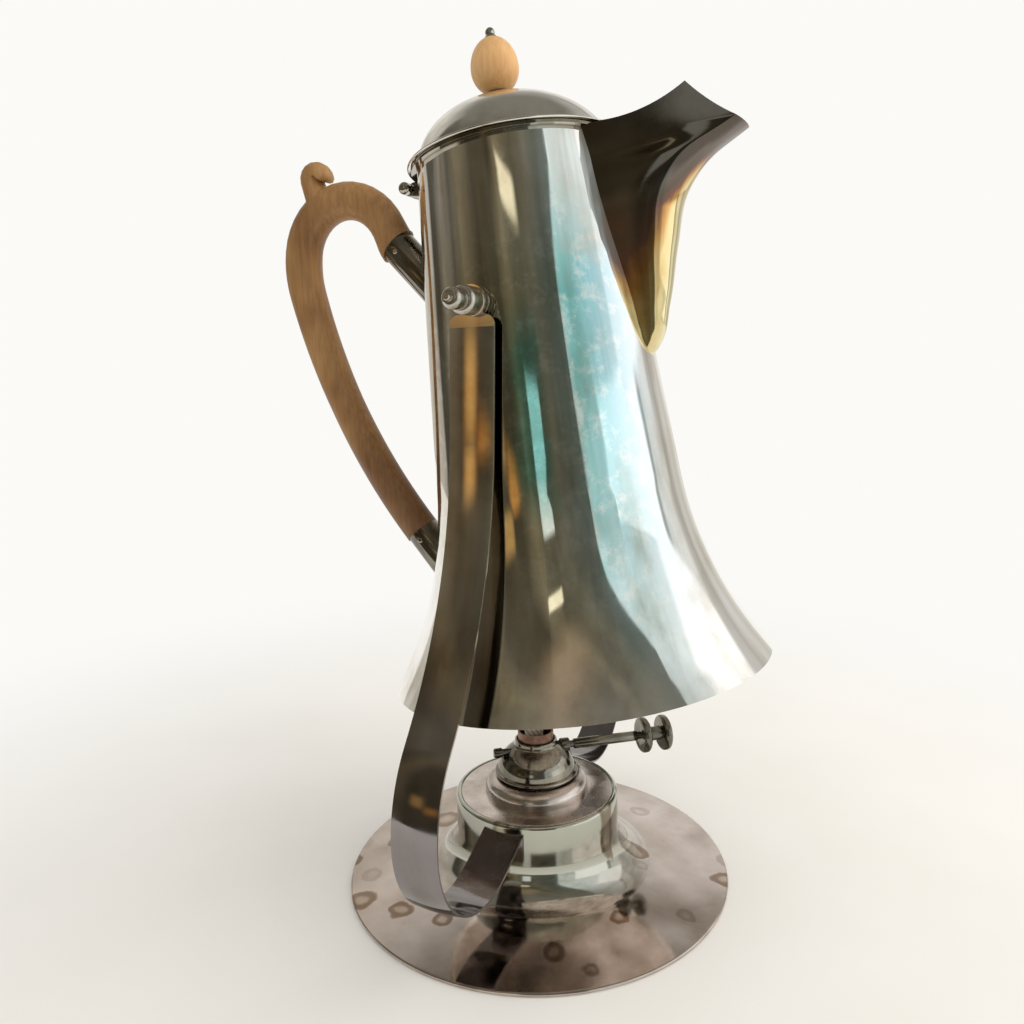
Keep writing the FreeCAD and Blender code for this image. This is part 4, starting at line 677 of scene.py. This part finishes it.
def strap_toning(tree, where, under):
    """A copper-gold band down the middle of a strap's upper half, partly toning and partly a painted
    reflection; lilac low down; painted shade on the faces turned towards the pot.
    """
    parts = add(tree, "ShaderNodeSeparateXYZ", {"Vector": where["place"]})
    level = parts.outputs["Z"]
    # copper-gold band across the strap: partly toning, partly a painted reflection
    out = add(tree, "ShaderNodeMapRange", {"Value": parts.outputs["X"]}, from_min=-10 * MM,
              from_max=10 * MM)
    film = add(tree, "ShaderNodeValToRGB", {"Fac": out.outputs[0]})
    high = add(tree, "ShaderNodeMapRange", {"Value": level}, from_min=0.07, from_max=0.2)
    fades = add(tree, "ShaderNodeValToRGB", {"Fac": high.outputs[0]})
    lilac = stops(fades, (0.0, "#8F8B8F"), (0.4, "#B9B3AB"), (0.8, "#FFFFFF"))
    share = add(tree, "ShaderNodeMath", {0: high.outputs[0], 1: where["clouds"]}, operation="MULTIPLY")
    gold = tint(tree, under, stops(film, *STRAP_TONING_AND_REFLECTION), share.outputs[0])
    # painted shade: faces turned towards the pot go darker brown above the loop
    normal = add(tree, "ShaderNodeTexCoord").outputs["Normal"]
    facing = add(tree, "ShaderNodeSeparateXYZ", {"Vector": normal})
    inward = add(tree, "ShaderNodeMath", {0: facing.outputs["Y"], 1: parts.outputs["Y"]},
                 operation="MULTIPLY")
    within = add(tree, "ShaderNodeMapRange", {"Value": inward.outputs[0]}, from_min=-0.005,
                 from_max=-0.03)
    clear = add(tree, "ShaderNodeMapRange", {"Value": level}, from_min=0.06, from_max=0.11)
    shaded_inside = add(tree, "ShaderNodeMath", {0: within.outputs[0], 1: clear.outputs[0]},
                 operation="MULTIPLY")
    return tint(tree, tint(tree, gold, lilac, 1.0), INNER_PAINTED_SHADE, shaded_inside.outputs[0])


def water_spots(tree, where, under):
    """Dried drops 8 to 15 mm across, each a brown ring round a paler middle; the drum kept greyer."""
    place = where["place"]
    runny = add(tree, "ShaderNodeTexNoise", {"Vector": place}, scale=per_mm(9), detail=3)
    shifted = add(tree, "ShaderNodeMix", {"A": place, "B": runny.outputs["Color"]}, data_type="VECTOR")
    shifted.inputs["Factor"].default_value = 0.006
    drops = add(tree, "ShaderNodeTexVoronoi", {"Vector": shifted.outputs["Result"]},
                voronoi_dimensions="2D", scale=per_mm(25), randomness=0.85)
    chance = add(tree, "ShaderNodeSeparateColor", {"Color": drops.outputs["Color"]})
    size = add(tree, "ShaderNodeMapRange", {"Value": chance.outputs["Red"]}, to_min=3.6, to_max=1.6)
    ring = add(tree, "ShaderNodeMath", {0: drops.outputs["Distance"], 1: size.outputs[0]},
               operation="MULTIPLY")
    stain = add(tree, "ShaderNodeValToRGB", {"Fac": ring.outputs[0]})
    rings = stops(stain, (0.0, "#F4ECE0"), (0.2, "#E2D6C6"), (0.29, "#A9937A"), (0.42, "#9A846C"),
                  (0.49, "#B7A48F"), (0.55, "#FFFFFF"))
    some = add(tree, "ShaderNodeMapRange", {"Value": chance.outputs["Green"]}, from_min=0.35,
               from_max=0.75, to_min=0, to_max=0.8)
    flat = add(tree, "ShaderNodeMapping", {"Vector": place}, scale=(1, 1, 0)).outputs[0]
    reach = add(tree, "ShaderNodeVectorMath", {0: flat}, operation="LENGTH")
    out = add(tree, "ShaderNodeMapRange", {"Value": reach.outputs["Value"]}, from_max=100 * MM)
    film = add(tree, "ShaderNodeValToRGB", {"Fac": out.outputs[0]})
    share = stops(film, (0.36, "#FFFFFF"), (0.5, "#8C8C8C"), (0.62, "#000000"))
    drum = add(tree, "ShaderNodeMix", {"Factor": share, "A": under}, data_type="RGBA")
    drum.inputs["B"].default_value = linear(DRUM_GREY)
    return tint(tree, drum.outputs["Result"], rings, some.outputs[0])


def stain_and_painted_shade(tree, place, under):
    """Wood darker towards the handle's lower end: painted shade, with some stain from handling."""
    level = add(tree, "ShaderNodeSeparateXYZ", {"Vector": place}).outputs["Z"]
    # painted shade and handling stain: the wood darkens below 205 mm
    low = add(tree, "ShaderNodeMapRange", {"Value": level}, from_min=205 * MM, from_max=180 * MM)
    return tint(tree, under, WOOD_STAIN_AND_SHADE, low.outputs[0])


def turned_wood(name, tones, grain, gloss, toning=None):
    """Close-grained wood under old wax: fine darker lines along the grain and a low sheen."""
    material, tree, shader = new_material(name)
    place = add(tree, "ShaderNodeTexCoord").outputs["Object"]
    along = add(tree, "ShaderNodeMapping", {"Vector": place}, rotation=(0, grain, 0), scale=(1, 1, 0.05))
    lines = add(tree, "ShaderNodeTexNoise", {"Vector": along.outputs[0]}, scale=per_mm(1.6), detail=4,
                roughness=0.6)
    figure = add(tree, "ShaderNodeTexNoise", {"Vector": place}, scale=per_mm(34), detail=2)
    blend = add(tree, "ShaderNodeMath", {0: lines.outputs[0], 2: figure.outputs[0]},
                operation="MULTIPLY_ADD")
    blend.inputs[1].default_value = 0.55
    tone = add(tree, "ShaderNodeValToRGB", {"Fac": blend.outputs[0]})
    colour = stops(tone, *zip((0.55, 0.78, 1.0), tones))
    if toning:
        colour = toning(tree, place, colour)
    tree.links.new(colour, shader.inputs["Base Color"])
    pores = add(tree, "ShaderNodeBump", {"Height": lines.outputs[0]}, strength=0.15, distance=0.04 * MM)
    tree.links.new(pores.outputs[0], shader.inputs["Normal"])
    wax = add(tree, "ShaderNodeMapRange", {"Value": figure.outputs[0]}, from_min=0.3, from_max=0.7,
              to_min=gloss[0], to_max=gloss[1])
    tree.links.new(wax.outputs[0], shader.inputs["Roughness"])
    return material


def bare_metal(name, tones, gloss):
    """Copper or brass browned by heat and handling, in soft blotches."""
    material, tree, shader = new_material(name)
    place = add(tree, "ShaderNodeTexCoord").outputs["Object"]
    blotch = add(tree, "ShaderNodeTexNoise", {"Vector": place}, scale=per_mm(5), detail=5)
    tone = add(tree, "ShaderNodeValToRGB", {"Fac": blotch.outputs[0]})
    tree.links.new(stops(tone, *zip((0.35, 0.65), tones)), shader.inputs["Base Color"])
    haze = add(tree, "ShaderNodeMapRange", {"Value": blotch.outputs[0]}, to_min=gloss[0], to_max=gloss[1])
    tree.links.new(haze.outputs[0], shader.inputs["Roughness"])
    shader.inputs["Metallic"].default_value = 1
    return material


def woven_cotton(name, tones):
    """Plaited cotton wick: matt, off-white, with slanting threads 0.8 mm apart."""
    material, tree, shader = new_material(name)
    place = add(tree, "ShaderNodeTexCoord").outputs["Object"]
    threads = add(tree, "ShaderNodeTexWave", {"Vector": place}, wave_type="BANDS",
                  bands_direction="DIAGONAL", scale=per_mm(0.8) / WAVE_TURN, distortion=1)
    tone = add(tree, "ShaderNodeValToRGB", {"Fac": threads.outputs["Fac"]})
    tree.links.new(stops(tone, *zip((0.2, 0.8), tones)), shader.inputs["Base Color"])
    plait = add(tree, "ShaderNodeBump", {"Height": threads.outputs["Fac"]}, strength=0.6,
                distance=0.2 * MM)
    tree.links.new(plait.outputs[0], shader.inputs["Normal"])
    shader.inputs["Roughness"].default_value = 0.95
    return material


# How far a wave texture runs in one turn, then the films, painted shade and tones as sRGB
WAVE_TURN = 6.3
TEAL_FILM = "#A6EAF2"
LIP_FILM = "#8A8272"
# colour of the painted shade on the straps' faces turned towards the pot
INNER_PAINTED_SHADE = "#575147"
DRUM_GREY = "#B9BDB1"
# colour of the painted shade and handling stain on the handle's lower end
WOOD_STAIN_AND_SHADE = "#CBC1BF"
POT_FILMS = (
    (0.0, "#E6E0D4"), (0.1, "#DAD8D2"), (0.2, "#D8D0BC"), (0.264, "#CFCDBC"), (0.318, "#CDD2C8"),
    (0.342, "#C4D4CE"), (0.353, "#80CED2"), (0.385, "#A4DAE6"),
    (0.42, "#D3EAF6"), (0.46, "#F2F6FB"), (0.51, "#FBF9F0"), (0.57, "#F1EADA"), (0.65, "#DFD5C2"),
    (0.72, "#C4D3CC"), (0.8, "#B9CBD3"), (0.88, "#DBCFBD"), (1.0, "#E6E0D4"))
KEEL_FILMS = (
    (0.0, "#FBF3D2"), (0.28, "#F8EFC6"), (0.43, "#EED9A2"), (0.54, "#C9985E"), (0.63, "#8A6A62"),
    (0.74, "#746A62"), (0.86, "#7A726B"), (1.0, "#625C56"))
# the band across a strap: copper toning mixed with a painted reflection of a warm thing
STRAP_TONING_AND_REFLECTION = (
    (0.0, "#A8957F"), (0.3, "#D2A46A"), (0.5, "#F0DAA6"), (0.65, "#C8965E"), (0.85, "#B2B8AE"),
    (1.0, "#E2DED6"))
LIGHT_TONES = ("#FDFBF7", "#F6F3EC", "#DAD2C4")
GREY_TONES = ("#DAD6CC", "#BDB7AB", "#857D6F")
DARK_TONES = ("#A8A397", "#858074", "#55514A")
BLACK_TONES = ("#8C897D", "#6E6B61", "#47443D")
DULL_TONES = ("#DDD4CD", "#C9BEB5", "#9E9187")
HAZY_TONES = ("#F4F1EA", "#E9E5DC", "#CCC5B9")
PINK_TONES = ("#D2C6BE", "#C7BAB1", "#B3A59B")
POT_SILVER = silver_plate("rainbow-toned silver plate", LIGHT_TONES, (0.03, 0.1), rainbow_toning)
SPOUT_SILVER = silver_plate("straw-toned silver plate", LIGHT_TONES, (0.05, 0.14), keel_toning)
STRAP_SILVER = silver_plate("copper-toned silver plate with painted reflection", LIGHT_TONES, (0.06, 0.15), strap_toning)
WORN_SILVER = silver_plate("worn silver plate", GREY_TONES, (0.18, 0.3))
DULL_SILVER = silver_plate("dulled silver plate", DULL_TONES, (0.2, 0.34))
HAZED_SILVER = silver_plate("hazed silver plate", HAZY_TONES, (0.1, 0.22))
BLACKENED = silver_plate("blackened silver plate", BLACK_TONES, (0.1, 0.22))
FOOT_SILVER = silver_plate("spotted silver plate", PINK_TONES, (0.06, 0.16), water_spots)
FITTING_SILVER = silver_plate("grey-toned silver plate", GREY_TONES, (0.05, 0.16))
TARNISHED = silver_plate("tarnished silver plate", DARK_TONES, (0.08, 0.2))
# the handle's wood, with painted shade and some stain towards its lower end
FRUITWOOD = turned_wood("waxed fruitwood", ("#7B552F", "#986E3F", "#AE8450"), math.radians(20),
                        (0.34, 0.5), stain_and_painted_shade)
BOXWOOD = turned_wood("waxed boxwood", ("#C9935A", "#D8A76C", "#E3BA85"), 0, (0.34, 0.46))
BRASS = bare_metal("dulled brass", ("#8C7036", "#B99A57"), (0.25, 0.5))
COPPER = bare_metal("heat-browned copper", ("#6E5244", "#A58676"), (0.3, 0.55))
COTTON = woven_cotton("plaited cotton wick", ("#B9AE97", "#E2DBC8"))

FINISHES = {
    "silver_plate": FITTING_SILVER, "fruitwood": FRUITWOOD, "boxwood": BOXWOOD,
    "brass": BRASS, "copper": COPPER, "cotton": COTTON,
}
OWN_FINISH = {
    "pot_body": POT_SILVER, "spout": SPOUT_SILVER, "stand_foot": FOOT_SILVER,
    "arm_right": STRAP_SILVER, "arm_left": STRAP_SILVER,
    "upper_socket": TARNISHED, "lower_socket": TARNISHED, "burner_cap": TARNISHED,
    "hinge_bracket": TARNISHED, "lid_knuckle": TARNISHED, "knob_cup": TARNISHED,
    "finial_right": WORN_SILVER, "finial_left": WORN_SILVER, "lid_dome": HAZED_SILVER,
    "key_knob": BLACKENED, "key_spindle": BLACKENED, "gland_nut": BLACKENED,
    "lamp_tray": DULL_SILVER, "font_shoulder": DULL_SILVER, "pot_base": DULL_SILVER,
}
for part in frame["record"]["subparts"]:
    name = part["node"]
    node = made.get(name, frame["nodes"][name])
    node.data.materials.clear()
    node.data.materials.append(OWN_FINISH.get(name, FINISHES[part["material_slot"]]))


# Studio


def make_floor():
    """Paper sweep: takes the pot's shadow, and far off has the colour of the white behind it."""
    bpy.ops.object.select_all(action="DESELECT")
    bpy.ops.mesh.primitive_plane_add(size=FLOOR_SIZE, location=FLOOR_PLACE)
    bpy.ops.object.transform_apply(location=True, rotation=True, scale=True)
    floor = bpy.context.object
    floor.name = "floor"
    material, tree, shader = new_material("white paper sweep")
    place = add(tree, "ShaderNodeTexCoord").outputs["Object"]
    fibre = add(tree, "ShaderNodeTexNoise", {"Vector": place}, scale=per_mm(90))
    paper = add(tree, "ShaderNodeValToRGB", {"Fac": fibre.outputs[0]})
    tree.links.new(stops(paper, (0.3, "#F0EDE7"), (0.7, "#F4F1EC")), shader.inputs["Base Color"])
    shader.inputs["Roughness"].default_value = 0.9
    far = add(tree, "ShaderNodeVectorMath", {0: place}, operation="LENGTH")
    fade = add(tree, "ShaderNodeMapRange", {"Value": far.outputs["Value"]},
               interpolation_type="SMOOTHSTEP", from_min=0.12, from_max=0.6)
    path = add(tree, "ShaderNodeLightPath")
    seen = add(tree, "ShaderNodeMath",
               {0: path.outputs["Is Camera Ray"], 1: path.outputs["Is Glossy Ray"]}, operation="MAXIMUM")
    amount = add(tree, "ShaderNodeMath", {0: fade.outputs[0], 1: seen.outputs[0]}, operation="MULTIPLY")
    white = add(tree, "ShaderNodeEmission")
    white.inputs["Color"].default_value = linear(SWEEP)
    both = add(tree, "ShaderNodeMixShader",
               {0: amount.outputs[0], 1: shader.outputs[0], 2: white.outputs[0]})
    tree.links.new(both.outputs[0], tree.nodes["Material Output"].inputs["Surface"])
    floor.data.materials.append(material)


def patch(tree, turn, height, under, bearing, level, code, soft, gain):
    """A thing in the room, over the walls behind it: bearing and level are (middle, half)."""
    inside = None
    for source, (middle, half) in ((turn, [math.radians(angle) for angle in bearing]), (height, level)):
        off = add(tree, "ShaderNodeMath", {0: source}, operation="SUBTRACT")
        off.inputs[1].default_value = middle
        away = add(tree, "ShaderNodeMath", {0: off.outputs[0]}, operation="ABSOLUTE")
        within = add(tree, "ShaderNodeMapRange", {"Value": away.outputs[0]},
                     interpolation_type="SMOOTHSTEP", from_min=half * (1 + soft),
                     from_max=half * (1 - soft))
        if inside:
            within = add(tree, "ShaderNodeMath", {0: inside.outputs[0], 1: within.outputs[0]},
                         operation="MULTIPLY")
        inside = within
    over = add(tree, "ShaderNodeMix", {"Factor": inside.outputs[0], "A": under}, data_type="RGBA")
    over.inputs["B"].default_value = [gain * channel for channel in linear(code)]
    return over.outputs["Result"]


def make_world():
    """A pale room: white sweep behind, tall windows at the right, dim walls before it and to the left."""
    world = bpy.data.worlds.new("studio")
    bpy.context.scene.world = world
    world.use_nodes = True
    tree = world.node_tree
    room = tree.nodes["Background"]
    way = add(tree, "ShaderNodeTexCoord").outputs["Generated"]
    look = add(tree, "ShaderNodeSeparateXYZ", {"Vector": way})
    height = look.outputs["Z"]
    turn = add(tree, "ShaderNodeMath", {0: look.outputs["Y"], 1: look.outputs["X"]},
               operation="ARCTAN2").outputs[0]
    above = add(tree, "ShaderNodeMapRange", {"Value": height}, from_min=0.35, from_max=0.9, to_max=0.55)
    slope = add(tree, "ShaderNodeMath", {0: above.outputs[0], 1: above.outputs[0]}, operation="MULTIPLY")
    leaning = add(tree, "ShaderNodeMath", {0: slope.outputs[0], 2: turn}, operation="MULTIPLY_ADD")
    leaning.inputs[1].default_value = -5.5
    round_it = add(tree, "ShaderNodeMapRange", {"Value": leaning.outputs[0]}, from_min=-math.pi,
                   from_max=math.pi)
    walls = add(tree, "ShaderNodeValToRGB", {"Fac": round_it.outputs[0]})
    around = stops(walls, *[((bearing + 180) / 360, code) for bearing, code in ROOM])
    clutter = add(tree, "ShaderNodeTexNoise", {"Vector": way}, scale=5, detail=3)
    mottle = add(tree, "ShaderNodeValToRGB", {"Fac": clutter.outputs[0]})
    around = tint(tree, around, stops(mottle, (0.35, "#BDB3A2"), (0.6, "#FFFFFF")), 0.5)
    for bearing, level, code, soft, gain in THINGS_IN_ROOM:
        around = patch(tree, turn, height, around, bearing, level, code, soft, gain)
    ceiling = add(tree, "ShaderNodeMapRange", {"Value": height}, from_min=0.58, from_max=0.86)
    whole = add(tree, "ShaderNodeMix", {"Factor": ceiling.outputs[0], "A": around}, data_type="RGBA")
    whole.inputs["B"].default_value = linear(CEILING)
    tree.links.new(whole.outputs["Result"], room.inputs["Color"])
    sweep = add(tree, "ShaderNodeBackground")
    sweep.inputs["Color"].default_value = linear(SWEEP)
    path = add(tree, "ShaderNodeLightPath")
    fill = add(tree, "ShaderNodeMapRange", {"Value": path.outputs["Is Diffuse Ray"]}, to_min=1,
               to_max=0.8)
    tree.links.new(fill.outputs[0], sweep.inputs["Strength"])
    mirrored = add(tree, "ShaderNodeMixShader", {0: path.outputs["Is Glossy Ray"], 1: sweep.outputs[0],
                                                 2: room.outputs[0]})
    tree.links.new(mirrored.outputs[0], tree.nodes["World Output"].inputs["Surface"])


def make_window():
    """Soft light of the window on the wood and the floor."""
    bpy.ops.object.light_add(type="AREA", location=WINDOW_PLACE)
    window = bpy.context.object
    window.data.shape = "RECTANGLE"
    window.data.size, window.data.size_y = WINDOW_SIZE
    window.data.energy = WINDOW_WATTS
    window.data.color = linear("#FFFDF8")[:3]
    window.rotation_euler = (0, math.radians(WINDOW_TURN), 0)
    window.visible_glossy = False


def make_camera():
    """The photo's view: near, a little above the pot's middle and to the right of the strap."""
    bpy.ops.object.camera_add(location=CAMERA_PLACE,
                              rotation=[math.radians(turn) for turn in CAMERA_TURN])
    camera = bpy.context.object
    camera.data.lens = CAMERA_LENS
    camera.data.sensor_width = CAMERA_SENSOR
    camera.data.shift_x, camera.data.shift_y = CAMERA_SHIFT
    camera.data.clip_start = 0.01
    bpy.context.scene.camera = camera


make_floor()
make_world()
make_window()
make_camera()
bpy.context.scene.view_settings.view_transform = "Standard"
